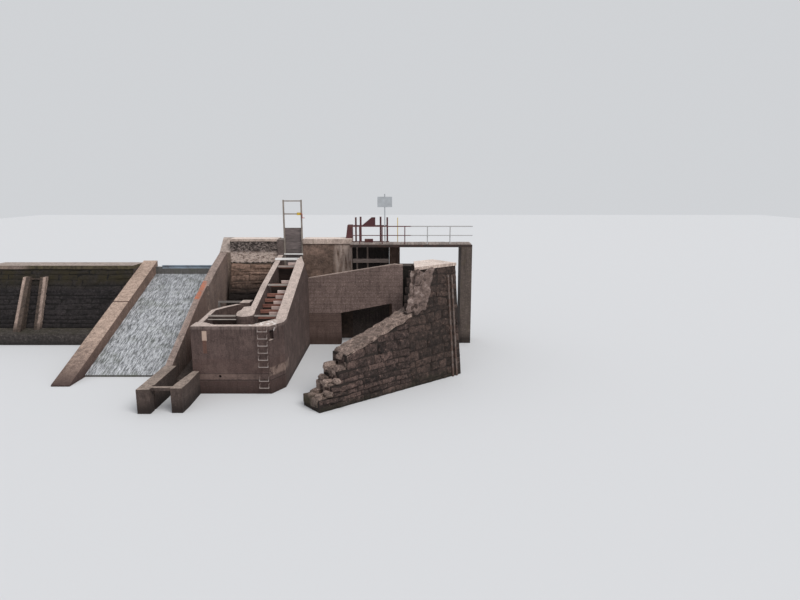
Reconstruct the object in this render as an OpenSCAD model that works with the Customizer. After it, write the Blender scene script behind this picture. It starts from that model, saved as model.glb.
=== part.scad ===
// River dam spillway with a sloping chute, a switchback fish ladder, a sluice gate bay,
// a footbridge and an old stone training wall. Millimetres, +Z up, +X along the dam, +Y upstream.
// Z = 0 is the tailwater level at the foot of the walls.

/* [Dam] */
// length of dam kept left of the chute
dam_len = 8150; // [6800:50:9600]
// crest height of the dam cap over the tailwater
dam_crest_z = 4050; // [3900:10:4140]
// thickness of the concrete cap
cap_t = 200; // [120:10:300]
// forward lean of the stone face from ledge to cap
dam_batter = 1350; // [1000:50:1500]
// depth of the toe ledge in front of the stone face
ledge_d = 800; // [500:50:1000]
// height of the toe ledge at its front edge
ledge_z = 620; // [400:20:800]
// width of the rendered strip left of the slot
rib_left_w = 400; // [300:10:500]
// width of the rendered strip right of the slot
rib_right_w = 330; // [250:10:450]
// clear width of the slot between the strips
rib_slot = 560; // [400:20:800]

/* [Chute] */
// clear width of the chute between its walls
chute_w = 4300; // [4000:50:4600]
// length of the sloping slab in plan
slab_len = 8700; // [8400:50:8700]
// height of the slab where it meets the crest sill
slab_top_z = 3410; // [3200:10:3600]
// width of the left chute wall
lw_w = 800; // [600:20:1000]
// height of the left chute wall at the dam
lw_top_z = 4150; // [4150:10:4400]
// fall of that wall's top for each millimetre downstream
lw_slope = 0.394; // [0.38:0.002:0.4]
// open joint in the left chute wall
lw_gap = 90; // [30:5:120]
// thickness of the right chute wall, front half
rw_w = 300; // [250:10:350]
// step that makes the rear half of that wall thicker
rw_step = 100; // [50:10:150]
// height of the steel crest beam
beam_h = 180; // [120:10:260]

/* [Ladder] */
// length of the ladder from its front face to the head wall
ladder_len = 9200; // [9000:50:9400]
// clear width of the upper pool run
run_w = 1070; // [950:10:1200]
// clear width of the lower run and the bay beside the divider
bay_w = 2650; // [2550:10:2750]
// thickness of the outer wall of the ladder
ow_w = 460; // [400:10:520]
// thickness of the divider wall between the runs
div_w = 280; // [240:10:340]
// height of the front block
block_z = 2880; // [2700:20:3000]
// slope of the outer wall top
ow_slope = 0.32; // [0.3:0.01:0.34]
// thickness of the front wall
fw_t = 320; // [280:10:400]
// length of the splayed corner block along the front
corner_l = 1210; // [1150:10:1300]
// width of the splay between front face and outer face
splay_w = 440; // [300:10:520]
// length of that splay upstream
splay_l = 830; // [600:10:1000]
// spacing of the weir boards in the upper run
weir_pitch = 500; // [440:10:520]
// thickness of the weir boards
weir_t = 70; // [50:5:100]
// drop from the wall top to the weir top
weir_drop = 400; // [330:10:450]
// depth of the notch cut in each weir board
notch_d = 150; // [100:10:250]
// rung spacing of the step irons
rung_pitch = 300; // [280:5:310]
// width of the step irons
rung_w = 400; // [350:10:420]

/* [Head works] */
// top of the head walls
head_z = 5600; // [5560:10:5700]
// thickness of the head walls
head_t = 1100; // [900:20:1300]
// thickness of the light cap on the bay wall
hcap_t = 130; // [100:10:260]
// thickness of the cap on the gate wall
gcap_t = 260; // [160:10:300]
// height of the fish ladder's timber head gate
hg_h = 2850; // [2600:50:2900]
// thickness of the head gate boards
hg_t = 80; // [60:5:100]
// height of the guide posts over the tailwater
post_z = 7720; // [7400:20:7900]
// length of the wall between the ladder and the gate bay
gw_len = 2700; // [2500:50:2900]
// clear width of the sluice gate bay
gate_w = 2060; // [1960:20:2200]
// top of the gate leaf when shut
gate_top_z = 5140; // [4900:20:5160]
// thickness of the gate leaf planks
gate_t = 100; // [80:5:110]
// running gap beside the gates
gate_gap = 15; // [10:1:25]
// width of the timber jamb right of the gate
jamb_w = 580; // [500:10:640]

/* [Bridge] */
// length of the footbridge from the gate wall to its right end
bridge_len = 6500; // [6200:50:6800]
// walking width of the footbridge
deck_w = 1200; // [1050:10:1200]
// top of the deck
deck_z = 5440; // [5420:5:5480]
// thickness of the deck boards
deck_t = 50; // [40:2:70]
// depth of the steel beams under the deck
beam_d = 130; // [110:5:160]
// height of the hand rail over the deck
rail_h = 900; // [880:10:1100]
// spacing of the railing posts
rail_pitch = 1200; // [1100:10:1280]

/* [Deflector and stone wall] */
// thickness of the deflector wall
def_t = 400; // [300:10:500]
// clear width of the opening under the deflector wall
def_open = 2760; // [2400:20:2860]
// height of the stone wall's raised part
sw_high_z = 5100; // [4900:10:5200]
// thickness of the cap on that part
scap_t = 130; // [100:10:200]
// height of the stone wall's low end
sw_low_z = 1950; // [1800:20:2100]
// thickness of the stone wall's low part
sw_t = 1150; // [1000:20:1250]
// depth of the stone wall's raised part
sw_d = 2000; // [1700:20:2200]
// backward lean of the stone face in degrees
sw_lean = 5.5; // [4:0.5:7]

/* [Hidden] */
$fn = 48;
// site positions: x right along the dam, y upstream, both from the left chute wall and the head wall
lw_x0 = -15050;
head_y = 33000;
toe_in = 1550;
back_d = 2050;
lw_x1 = lw_x0 + lw_w;
ch_x1 = lw_x1 + chute_w;
rw_x1 = ch_x1 + rw_w;
rw_x2 = rw_x1 + rw_step;
dam_x0 = lw_x0 - dam_len;
toe_y = head_y - toe_in;
dam_back = head_y + back_d;
face_y = toe_y + ledge_d;
crest_y = face_y + dam_batter;
ledge_rise = 130;
ledge_back_z = ledge_z + ledge_rise;
cap_over = 50;
// strips on the dam face
rib_in = 6020;
rib_x = lw_x0 - rib_in;
rib_top_z = 3450;
rib_d = 260;
rib_toe = 550;
// chute
sill_d = 350;
slab_y1 = dam_back - sill_d;
slab_y0 = slab_y1 - slab_len;
slab_toe_z = 90;
crest_sill_z = 3730;
stub_l = 330;
stub_d = 250;
stub_h = 90;
lw_joint = 4150;
lw_len = 10370;
rw_len = 8600;
rw_half = 3440;
rw_toe_z = 1020;
rw_knee = 3900;
rw_knee_z = 3050;
rw_mid_z = 3578;
rw_end_z = 4850;
rw_y0 = head_y - rw_len;
rw_ym = head_y - rw_half;
ent_w = 500;
ent_len = 2850;
ent_z = 960;
ent_gap = 770;
post_w = 420;
ent_y0 = rw_y0 - ent_len;
slot_w = 100;
slot_d = 60;
// recess bay and ladder walls
pier_w = 600;
pier_run = 900;
bay_x0 = ch_x1 + pier_w;
bay_batter = 1850;
bay_crack_z = 4280;
div_x0 = bay_x0 + bay_w;
div_x1 = div_x0 + div_w;
pil_over = 40;
pil_front = 100;
pil_x0 = div_x0 - pil_over;
pil_x1 = div_x1 + pil_over / 2;
run_x1 = div_x1 + run_w;
ow_x1 = run_x1 + ow_w;
fw_y = head_y - ladder_len;
fw_y1 = fw_y + fw_t;
ow_flat = 1400;
ow_y0 = fw_y + ow_flat;
corner_y = ow_y0;
corner_x = ow_x1 - corner_l;
ow_knee = 2100;
ow_end_z = 4740;
run_in = 1900;
run_y0 = fw_y + run_in;
bl_in = 1390;
bl_x0 = ch_x1 + bl_in;
side_t = 220;
side_in_y = 760;
side_y0 = fw_y + side_in_y;
side_bend = 2700;
side_kink = 720;
side_end = 720;
sq_in = 730;
sq_x0 = bl_x0 + sq_in;
sq_w = 480;
sq_d = 750;
side_y3 = side_y0 + side_bend + side_kink + side_end;
nose_r = 400;
nose_x = div_x1 - nose_r;
nose_in = 150;
nose_y = run_y0 + nose_in;
nose_len = 620;
div_rise = 90;
div_knee = 2900;
lower_pitch = 700;
turn_z = 1500;
pool_drop = 250;
bay_z = 1100;
sill_z = 3350;
floor_t = 300;
weir_y0 = 800;
weir_n = 11;
weir_gone = [5, 7, 8, 9];
bar_t = 80;
plank_t = 60;
pipe_r = 25;
post_t = 100;
rung_t = 25;
rung_out = 120;
rung_z = 2670;
rung_gone = 6;
rung_in = 720;
rung_x = ow_x1 - rung_in;
rung_drop = 150;
recess_in = 490;
recess_w = 160;
recess_d = 350;
recess_z = 2280;
recess_h = 430;
drain_r = 55;
// head works
head_back = head_y + head_t;
gw_x0 = run_x1;
gate_x0 = gw_x0 + gw_len;
gate_x1 = gate_x0 + gate_w;
gate_sill_z = 1950;
gate_in = 240;
gate_y = head_y + gate_in;
jr_x1 = gate_x1 + jamb_w;
jamb_z = deck_z - deck_t - beam_d;
guide_t = 80;
wale_t = 120;
wale_z0 = 4270;
wale_h = 220;
stem_w = 100;
stem_top_z = 6800;
stem_in = 430;
frame_y0 = gate_y + gate_t + 60;
frame_t = 90;
frame_z = 6330;
hoist_d = 640;
hpost_z = 6760;
tray_w = 450;
tray_h = 170;
winch_z = 6900;
crank_gap = 0.3;
crank_len = 250;
// bridge
deck_y1 = head_y + 100;
deck_y0 = deck_y1 - deck_w;
br_x1 = gate_x0 + bridge_len;
beam_w = 80;
rail_t = 50;
abut_l = 600;
sign_z = 8040;
sign_w = 800;
sign_h = 560;
sign_in = 240;
sign_x = gate_x1 - sign_in;
marker_z = 6750;
// deflector
def_in = 1400;
def_y0 = head_y - def_in;
def_y1 = def_y0 + def_t;
def_x0 = ow_x1;
def_left = 1700;
def_xa = def_x0 + def_left;
def_xb = def_xa + def_open;
def_pier = 580;
def_x1 = def_xb + def_pier;
def_soffit = 1750;
def_rise = 640;
def_top0 = 3640;
def_top1 = 4380;
def_step = 440;
// stone wall, set out along its own length s and depth d
sw_off = 50;
sw_run = 11000;
sw_x = gate_x0 + sw_off;
sw_y = head_y - sw_run;
sw_a = 39.8;
sw_s1 = 4000;
sw_s2 = 7030;
sw_slope = 0.335;
sw_shoulder = 3400;
sw_rake = 210;
sw_step_s = [-600, 0, 350, 800];
sw_step_z = [450, 900, 1400];
srail_w = 90;
ch_z = 4000;
ch_head_z = 4100;
site_x = (dam_x0 + br_x1) / 2;
site_y = (ent_y0 + dam_back) / 2;
far = 8000;

function sw_px(s, d) = sw_x + s * cos(sw_a) - d * sin(sw_a);
function sw_py(s, d) = sw_y + s * sin(sw_a) + d * cos(sw_a);
function lw_z(y) = lw_top_z - lw_slope * (dam_back - y);
function ow_z(y) = block_z + ow_slope * (y - ow_y0);
function div_z(y) = block_z + div_rise
  + (y < run_y0 + div_knee ? 0.279 * (y - run_y0) : 0.279 * div_knee + 0.221 * (y - run_y0 - div_knee));
function floor_z(y) = turn_z + (sill_z - turn_z) * (y - run_y0) / (head_y - pil_front - run_y0);
function run3_z(y) = 380 + (bay_z - 380) * (y - rw_y0) / (rw_len - rw_half - 60);
function face_at(z) = face_y + dam_batter * (z - ledge_back_z) / (dam_crest_z - cap_t - ledge_back_z);
function side_in(y) = bl_x0 + side_t * (1 - (y - side_y0) / side_bend);
function sw_sx(x, d) = (x - sw_x + d * sin(sw_a)) / cos(sw_a);
sw_cut = sw_px(sw_s1, 0);
function weir_y(i) = run_y0 + weir_y0 + i * weir_pitch;

// a box given by its six limits in the site frame
module blk(x0, x1, y0, y1, z0, z1)
  translate([x0 - site_x, y0 - site_y, z0])
    cube([x1 - x0, y1 - y0, z1 - z0]);

// a side profile in y and z, drawn out along the dam from x0 to x1
module side(pts, x0, x1)
  translate([x0 - site_x, -site_y, 0])
    rotate([90, 0, 90])
      linear_extrude(height = x1 - x0)
        polygon(pts);

// a front profile in x and z, drawn out upstream from y0 to y1
module front(pts, y0, y1)
  translate([-site_x, y1 - site_y, 0])
    rotate([90, 0, 0])
      linear_extrude(height = y1 - y0)
        polygon(pts);

// a plan outline raised from z0 to z1
module plan(pts, z0, z1)
  translate([-site_x, -site_y, z0])
    linear_extrude(height = z1 - z0)
      polygon(pts);

// the frame of the stone wall: x along its face, y into it
module on_stone_wall()
  translate([sw_x - site_x, sw_y - site_y, 0])
    rotate([0, 0, sw_a])
      children();

// what lies in front of the leaning stone face
module stone_face_cut()
  rotate([-sw_lean, 0, 0])
    translate([-1000, -2000, -500])
      cube([far + 1000, 2000, far]);

// the old stone dam: one battered block of coursed stone
module dam_wall()
  color([0.17, 0.16, 0.15])
    side([[face_y, 0], [face_y, ledge_back_z], [crest_y, dam_crest_z - cap_t],
      [dam_back, dam_crest_z - cap_t], [dam_back, 0]], dam_x0, lw_x0);

// its concrete cap, a little proud of the face
module dam_cap()
  color([0.43, 0.4, 0.37])
    blk(dam_x0, lw_x0, crest_y - cap_over, dam_back, dam_crest_z - cap_t, dam_crest_z);

// the ledge at its toe
module dam_ledge()
  color([0.24, 0.22, 0.2])
    side([[toe_y, 0], [toe_y, ledge_z], [face_y, ledge_back_z], [face_y, 0]], dam_x0, lw_x0);

// two raking strips of concrete on the stone face, joined near the top by a thin bar
module dam_ribs()
  color([0.46, 0.41, 0.37]) {
    xr = rib_x + rib_left_w + rib_slot;
    bar_y = face_at(rib_top_z - bar_t) - rib_d + bar_t;
    blk(rib_x + rib_left_w, xr, bar_y, bar_y + plank_t, rib_top_z - bar_t - plank_t, rib_top_z - bar_t);
    for (rib = [[rib_x, rib_left_w, rib_toe], [xr, rib_right_w, rib_toe - 300]])
      side([[face_at(rib_top_z), rib_top_z], [face_at(rib_top_z) - rib_d, rib_top_z],
        [face_y - rib[2], ledge_back_z - ledge_rise * rib[2] / ledge_d], [face_y, ledge_back_z]],
        rib[0], rib[0] + rib[1]);
  }

// left chute wall in two lengths, with the open joint between them
module left_wall()
  color([0.5, 0.4, 0.33]) {
    yj = dam_back - lw_joint;
    y0 = dam_back - lw_len;
    side([[yj + lw_gap / 2, 0], [yj + lw_gap / 2, lw_z(yj + lw_gap / 2)],
      [dam_back, lw_top_z], [dam_back, 0]], lw_x0, lw_x1);
    side([[y0, 0], [y0, lw_z(y0)], [yj - lw_gap / 2, lw_z(yj - lw_gap / 2)],
      [yj - lw_gap / 2, 0]], lw_x0, lw_x1);
  }

// the sloping slab
module chute_slab()
  color([0.27, 0.27, 0.27])
    side([[slab_y0, 0], [slab_y0, slab_toe_z], [slab_y1, slab_top_z], [slab_y1, 0]], lw_x1, ch_x1);

// upright sill at the head of the slab, with a stub beside the steel
module crest_sill()
  color([0.33, 0.31, 0.29]) {
    blk(lw_x1, ch_x1, slab_y1, dam_back, 0, crest_sill_z);
    blk(lw_x1, lw_x1 + stub_l, slab_y1, slab_y1 + stub_d, crest_sill_z, crest_sill_z + stub_h);
  }

// steel channel along the crest, its web to the right of the stub
module crest_beam()
  color([0.42, 0.47, 0.52]) {
    y0 = slab_y1 + 40;
    z0 = crest_sill_z;
    flange = 110;
    steel_t = 20;
    side([[y0, z0], [y0, z0 + steel_t], [y0 + flange - steel_t, z0 + steel_t],
      [y0 + flange - steel_t, z0 + beam_h - steel_t], [y0, z0 + beam_h - steel_t], [y0, z0 + beam_h],
      [y0 + flange, z0 + beam_h], [y0 + flange, z0]], lw_x1 + stub_l + steel_t, ch_x1);
  }

// thin wall right of the chute, its rear half a step thicker
module right_wall()
  color([0.37, 0.32, 0.28]) {
    side([[rw_y0, 0], [rw_y0, rw_toe_z], [rw_y0 + rw_knee, rw_knee_z], [rw_ym, rw_mid_z], [rw_ym, 0]],
      ch_x1, rw_x1);
    side([[rw_ym, 0], [rw_ym, rw_mid_z], [rw_ym + rw_half * 0.42, rw_mid_z + (rw_end_z - rw_mid_z) * 0.47],
      [head_y, rw_end_z], [head_y, 0]], ch_x1, rw_x2);
  }

// low thick length that ends at the fish entrance, with a stop-log slot
module entrance_wall()
  color([0.33, 0.29, 0.26])
    difference() {
      side([[ent_y0, 0], [ent_y0, ent_z], [rw_y0, rw_toe_z], [rw_y0, 0]], ch_x1 - 20, ch_x1 - 20 + ent_w);
      blk(ch_x1 - 20 + ent_w - slot_d, ch_x1 + ent_w, ent_y0 + 4 * slot_w, ent_y0 + 5 * slot_w, -10, ent_z + 100);
    }

// right post of the entrance, its slanting wall back to the block, and the cross beam
module entrance_post()
  color([0.35, 0.31, 0.28]) {
    px = ch_x1 - 20 + ent_w + ent_gap;
    py = ent_y0 + slot_w;
    plan([[px, py], [px + post_w, py], [px + post_w + 30, py + 650], [bl_x0 + 260, fw_y], [bl_x0, fw_y],
      [px, py + 650]], 0, ent_z + 20);
    blk(px - ent_gap, px, py + 70, py + 250, ent_z - 90, ent_z + 20);
  }

// rough pier where the chute wall meets the head wall
module bay_end_pier()
  color([0.5, 0.47, 0.43])
    side([[head_y, 0], [head_y, rw_end_z + 20], [head_y + pier_run, head_z], [head_back, head_z],
      [head_back, dam_crest_z], [dam_back, dam_crest_z], [dam_back, 0]], ch_x1, bay_x0);

// back wall of the recess bay: battered stone below, concrete above
module bay_back_wall()
  color([0.3, 0.27, 0.24])
    side([[head_y - bay_batter, 0], [head_y, bay_crack_z], [head_y, head_z - hcap_t],
      [head_back, head_z - hcap_t], [head_back, 0]], bay_x0, pil_x0);

// smooth pilaster left of the head gate
module head_pilaster()
  color([0.42, 0.39, 0.36])
    blk(pil_x0, pil_x1, head_y - pil_front, head_back, 0, head_z - pil_over);

// sills of the head gate opening and of the gate bay
module head_sills()
  color([0.26, 0.24, 0.22]) {
    blk(pil_x1, run_x1, head_y - pil_front, head_back, 0, sill_z);
    blk(gate_x0, gate_x1, head_y, head_back, 0, gate_sill_z);
  }

// front wall of the ladder block, its left inner corner splayed, with a small drain hole
module front_wall()
  color([0.34, 0.3, 0.27])
    difference() {
      plan([[bl_x0, fw_y], [corner_x, fw_y], [corner_x, fw_y1], [bl_x0 + 870, fw_y1],
        [bl_x0 + side_t + 110, side_y0], [bl_x0, side_y0]], 0, block_z);
      translate([bl_x0 + 1110 - site_x, fw_y - site_y - 5, turn_z / 2])
        rotate([-90, 0, 0])
          cylinder(h = 120, r = drain_r);
    }

// splayed corner between front wall and outer wall, thicker than either
module corner_wall()
  color([0.35, 0.31, 0.28])
    difference() {
      plan([[corner_x, fw_y], [ow_x1 - splay_w, fw_y], [ow_x1, fw_y + splay_l], [ow_x1, corner_y],
        [run_x1, corner_y], [corner_x, fw_y1]], 0, block_z);
      blk(ow_x1 - recess_in, ow_x1 - recess_in + recess_w, fw_y - 10, fw_y + recess_d, recess_z, recess_z + recess_h);
    }

// outer wall, rising upstream, its far top corner broken away
module outer_wall()
  color([0.37, 0.33, 0.3])
    difference() {
      side([[corner_y, 0], [corner_y, block_z], [head_y - ow_knee, ow_z(head_y - ow_knee)],
        [head_y, ow_end_z], [head_y, 0]], run_x1, ow_x1);
      translate([ow_x1 - site_x, head_y - ow_knee - 480 - site_y, ow_z(head_y - ow_knee - 480) + 20])
        rotate([0, 73.8, 11.8])
          translate([-ow_knee, -2 * ow_knee, 0])
            cube([far / 2, far, ow_knee]);
    }

// divider between the upper run and the bay, with its rounded nose
module divider_wall()
  color([0.4, 0.36, 0.33]) {
    y0 = nose_y + 300;
    ym = run_y0 + div_knee;
    y1 = head_y - pil_front;
    side([[y0, 0], [y0, div_z(y0)], [ym, div_z(ym)], [y1, div_z(y1)], [y1, 0]], div_x0, div_x1);
    translate([nose_x - site_x, nose_y - site_y, 0])
      cylinder(h = block_z + 40, r = nose_r);
    side([[nose_y, 0], [nose_y, block_z + 40], [nose_y + nose_len * 0.6, block_z + 60],
      [nose_y + nose_len, block_z - 200], [nose_y + nose_len, 0]], nose_x - nose_r * 0.6, div_x0 + div_w / 2);
  }

// thin side wall of the lower run, bent inwards at its far end and closed by a square block
module side_wall()
  color([0.36, 0.32, 0.29]) {
    y1 = side_y0 + side_bend;
    y2 = y1 + side_kink;
    plan([[bl_x0, side_y0], [bl_x0 - side_t, y1 + 90], [bl_x0 + 160, y2 + 170], [bl_x0 + 580, side_y3],
      [bl_x0 + 810, side_y3], [bl_x0 + 360, y2], [bl_x0, y1], [bl_x0 + side_t, side_y0]],
      0, block_z - plank_t);
    blk(sq_x0, sq_x0 + sq_w, side_y3, side_y3 + sq_d, 0, block_z);
  }

// sloping floor of the upper run
module upper_floor()
  color([0.22, 0.2, 0.19])
    side([[run_y0, turn_z - floor_t], [run_y0, turn_z], [head_y - pil_front, sill_z],
      [head_y - pil_front, sill_z - floor_t]], div_x1, run_x1);

// floors of the lower run, the recess bay and the third run
module lower_floors()
  color([0.19, 0.18, 0.17]) {
    z = turn_z - pool_drop;
    xn = nose_x - nose_r - 10;
    yn0 = nose_y - nose_r - 10;
    yn2 = nose_y + nose_len + 10;
    plan([[bl_x0 + 870, fw_y1], [corner_x, fw_y1], [run_x1, corner_y], [run_x1, run_y0],
      [div_x1 + 10, run_y0], [div_x1 + 10, yn0], [xn, yn0], [xn, yn2], [div_x0, yn2],
      [div_x0, side_y3 - 400], [bl_x0 + 560, side_y3 - 450], [bl_x0 + 360, side_y3 - side_end],
      [bl_x0, side_y0 + side_bend], [bl_x0 + side_t, side_y0], [bl_x0 + side_t + 110, side_y0]], 0, z);
    blk(rw_x2, div_x0, rw_ym - 60, head_y - bay_batter - 50, 0, bay_z);
    side([[rw_y0, 0], [rw_y0, run3_z(rw_y0)], [rw_ym - 60, bay_z], [rw_ym - 60, 0]], rw_x2,
      bl_x0 - side_t - 10);
  }

// notched weir boards of the upper run, some of them gone
module upper_weirs()
  color([0.42, 0.3, 0.25])
    for (i = [0 : weir_n - 1])
      if (len(search(i, weir_gone)) == 0) {
        y = weir_y(i);
        zt = ow_z(y) - weir_drop;
        xn = div_x1 + run_w * 0.48;
        z0 = floor_z(y + weir_t / 2) + 0.3;
        front([[div_x1, z0], [div_x1, zt - notch_d], [xn, zt - notch_d], [xn, zt], [run_x1, zt],
          [run_x1, z0]], y - weir_t / 2, y + weir_t / 2);
      }

// weir boards of the lower run
module lower_weirs()
  color([0.38, 0.29, 0.24])
    for (i = [0 : 1]) {
      y = side_y0 + side_bend - weir_t - (1 - i) * lower_pitch;
      blk(side_in(y) + 1, div_x0, y, y + weir_t, turn_z - pool_drop, block_z - (i + 1) * pool_drop);
    }

// cross bars at wall-top level, the plank over the turning pool and the pipe under it
module struts()
  color([0.62, 0.6, 0.57]) {
    ya = head_y - 960;
    blk(div_x0, run_x1, ya, ya + bar_t, div_z(ya + bar_t), div_z(ya + bar_t) + 110);
    for (y = [head_y - 1780, head_y - 4300])
      blk(div_x1, run_x1, y, y + bar_t, div_z(y) - bar_t, div_z(y));
    yb = nose_y - plank_t;
    plan([[side_in(yb), yb], [nose_x - nose_r, yb], [nose_x - nose_r, yb + plank_t],
      [side_in(yb + plank_t), yb + plank_t]], block_z - 40, block_z + 20);
    blk(nose_x + nose_r, run_x1, yb, yb + plank_t, block_z - 40, block_z + 20);
    yp = nose_y - nose_r / 2;
    x0 = side_in(yp) + 2.5;
    translate([x0 - site_x, yp - site_y, block_z - 140])
      rotate([0, 90, 0])
        cylinder(h = nose_x - nose_r * 0.9 - x0, r = pipe_r);
    blk(pil_x1, run_x1, head_y, head_y + 45, ow_end_z, ow_end_z + plank_t);
  }

// post and beam at the mouth of the third run
module bay_frame()
  color([0.4, 0.36, 0.32]) {
    x0 = bl_x0 - 440;
    y0 = side_y3 + 400;
    blk(x0, x0 + post_t, y0, y0 + post_t, run3_z(y0 + post_t) + 0.3, block_z - bar_t);
    blk(x0, sq_x0, y0, y0 + post_t, block_z - bar_t, block_z);
  }

// dropped step irons on the front face, one of them missing
module step_irons()
  color([0.45, 0.42, 0.4])
    for (i = [0 : 8])
      if (i != rung_gone) {
        z = rung_z - i * rung_pitch;
        for (x = [rung_x - rung_w / 2, rung_x + rung_w / 2 - rung_t]) {
          blk(x, x + rung_t, fw_y - rung_out - rung_t, fw_y, z + rung_drop, z + rung_drop + rung_t);
          blk(x, x + rung_t, fw_y - rung_out - rung_t, fw_y - rung_out, z, z + rung_drop);
        }
        blk(rung_x - rung_w / 2 + rung_t, rung_x + rung_w / 2 - rung_t, fw_y - rung_out - rung_t,
          fw_y - rung_out, z, z + rung_t);
      }

// guide posts of the head gate and their two cross pieces
module head_posts()
  color([0.5, 0.48, 0.45]) {
    y0 = head_y + 50;
    blk(pil_x1, pil_x1 + guide_t, y0, y0 + guide_t, sill_z, post_z);
    blk(run_x1 - guide_t, run_x1, y0, y0 + guide_t, sill_z, post_z);
    for (z = [winch_z + 30, post_z - 90])
      blk(pil_x1 + guide_t, run_x1 - guide_t, y0 + 10, y0 + 10 + plank_t, z, z + plank_t);
  }

// the head gate's timber leaf
module head_gate()
  color([0.42, 0.41, 0.42])
    blk(pil_x1 + gate_gap, run_x1 - gate_gap, head_y + 70 + guide_t, head_y + 70 + guide_t + hg_t,
      sill_z, sill_z + hg_h);

// small winch on the right post
module winch_box()
  color([0.75, 0.6, 0.2])
    blk(run_x1 - guide_t - 180, run_x1 - guide_t, head_y - 60, head_y + plank_t, winch_z, winch_z + 140);

// its crank
module winch_crank()
  color([0.6, 0.13, 0.1])
    translate([run_x1 - guide_t + crank_gap - site_x, head_y - site_y, winch_z + 70])
      rotate([0, 90, 0]) {
        cylinder(h = 110, r = 14);
        translate([-12, -15, 85])
          cube([crank_len, 30, 25]);
        translate([crank_len - 30, 0, 100])
          cylinder(h = 130, r = 16);
      }

// wall between the ladder and the gate bay
module gate_wall()
  color([0.26, 0.24, 0.22])
    blk(gw_x0, gate_x0, head_y, head_back, 0, head_z - gcap_t);

// light caps of the bay wall and of the gate wall
module head_caps()
  color([0.6, 0.56, 0.52]) {
    blk(bay_x0, pil_x0, head_y - 30, head_back, head_z - hcap_t, head_z);
    blk(gw_x0, gate_x0, head_y - plank_t, head_back, head_z - gcap_t, head_z);
  }

// right jamb of the gate bay
module gate_jamb()
  color([0.4, 0.32, 0.27])
    blk(gate_x1, jr_x1, head_y, head_back, 0, jamb_z);

// the sluice gate leaf with its wale
module gate_leaf()
  color([0.2, 0.18, 0.17]) {
    blk(gate_x0 + gate_gap, gate_x1 - gate_gap, gate_y, gate_y + gate_t, gate_sill_z, gate_top_z);
    blk(gate_x0 + gate_gap, gate_x1 - gate_gap, gate_y - wale_t, gate_y, wale_z0, wale_z0 + wale_h);
  }

// two rack stems that lift it
module gate_stems()
  color([0.28, 0.2, 0.2])
    for (x = [gate_x0 + stem_in, gate_x1 - stem_in - stem_w])
      blk(x, x + stem_w, gate_y, gate_y + gate_t, gate_top_z, stem_top_z);

// painted steel hoist frame over the bay, with its side panel, gear guard and a tray on the deck
module hoist_frame()
  color([0.3, 0.15, 0.16]) {
    y1 = frame_y0 + frame_t;
    front([[gate_x0 - 360, head_z], [gate_x0, head_z], [gate_x0, frame_z], [gate_x0 - 260, frame_z]],
      frame_y0, frame_y0 + hoist_d);
    blk(gate_x0, gate_x1, frame_y0, y1, jamb_z - 60, deck_z);
    for (x = [gate_x0 + 160, gate_x1 - 160])
      blk(x, x + frame_t, frame_y0, y1, deck_z, hpost_z);
    blk(gate_x0, gate_x0 + 160, frame_y0, y1, frame_z - frame_t, frame_z);
    blk(gate_x0 + 160 + frame_t, gate_x1 - 160, frame_y0, y1, frame_z - frame_t, frame_z);
    front([[gate_x0 + 560, frame_z], [gate_x0 + 1280, frame_z], [gate_x0 + 1280, hpost_z],
      [gate_x0 + 1080, hpost_z]], frame_y0, y1);
    blk(gate_x0 + 720, gate_x0 + 720 + tray_w, deck_y1 - 350, deck_y1 - 50, deck_z, deck_z + tray_h);
  }

// planked deck
module bridge_deck()
  color([0.55, 0.5, 0.46])
    blk(gate_x0, br_x1, deck_y0, deck_y1, deck_z - deck_t, deck_z);

// two steel beams under the deck
module bridge_beams()
  color([0.18, 0.13, 0.12])
    for (y = [deck_y0, deck_y1 - beam_w])
      blk(gate_x0, br_x1, y, y + beam_w, deck_z - deck_t - beam_d, deck_z - deck_t);

// railing along the downstream edge
module bridge_rails()
  color([0.32, 0.2, 0.2]) {
    for (i = [0 : 4]) {
      x = gate_x0 + 480 + i * rail_pitch;
      blk(x, x + rail_t, deck_y0, deck_y0 + rail_t, deck_z, deck_z + rail_h);
    }
    blk(gate_x0, br_x1, deck_y0, deck_y0 + rail_t, deck_z + rail_h, deck_z + rail_h + rail_t);
    blk(gate_x0, br_x1, deck_y0 - 30, deck_y0, deck_z + rail_h / 2 - 20, deck_z + rail_h / 2 + 20);
  }

// plain pier that carries its right end
module bridge_abutment()
  color([0.48, 0.46, 0.43])
    blk(br_x1 - abut_l, br_x1, deck_y0, deck_y1 + 200, 0, deck_z - deck_t - beam_d);

// post with its bare sign plate
module sign_post()
  color([0.5, 0.52, 0.54]) {
    blk(sign_x - 30, sign_x + 30, deck_y1 - 80, deck_y1 - 20, deck_z, sign_z);
    blk(sign_x - sign_w / 2, sign_x + sign_w / 2, deck_y1 - 100, deck_y1 - 80, sign_z - 150 - sign_h,
      sign_z - 150);
  }

// thin marker post on the jamb
module marker_post()
  color([0.75, 0.62, 0.25])
    blk(jr_x1 - 140, jr_x1 - 100, head_y + 300, head_y + 340, jamb_z, marker_z);

// deflector wall with its sloping top and bottom edges
module deflector_wall()
  color([0.36, 0.32, 0.29])
    front([[def_x0, def_soffit], [def_x0, def_top0], [def_x1 - def_step, def_top1], [def_x1, def_top1 - 50],
      [def_x1, def_soffit + def_rise], [def_xa, def_soffit]], def_y0, def_y1);

// piers under its two ends
module deflector_piers()
  color([0.35, 0.3, 0.27]) {
    blk(def_x0, def_xa, def_y0, def_y1, 0, def_soffit);
    front([[def_xb, 0], [def_xb, def_soffit + def_rise * def_open / (def_open + def_pier)],
      [def_x1, def_soffit + def_rise], [def_x1, 0]], def_y0, def_y1);
  }

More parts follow.
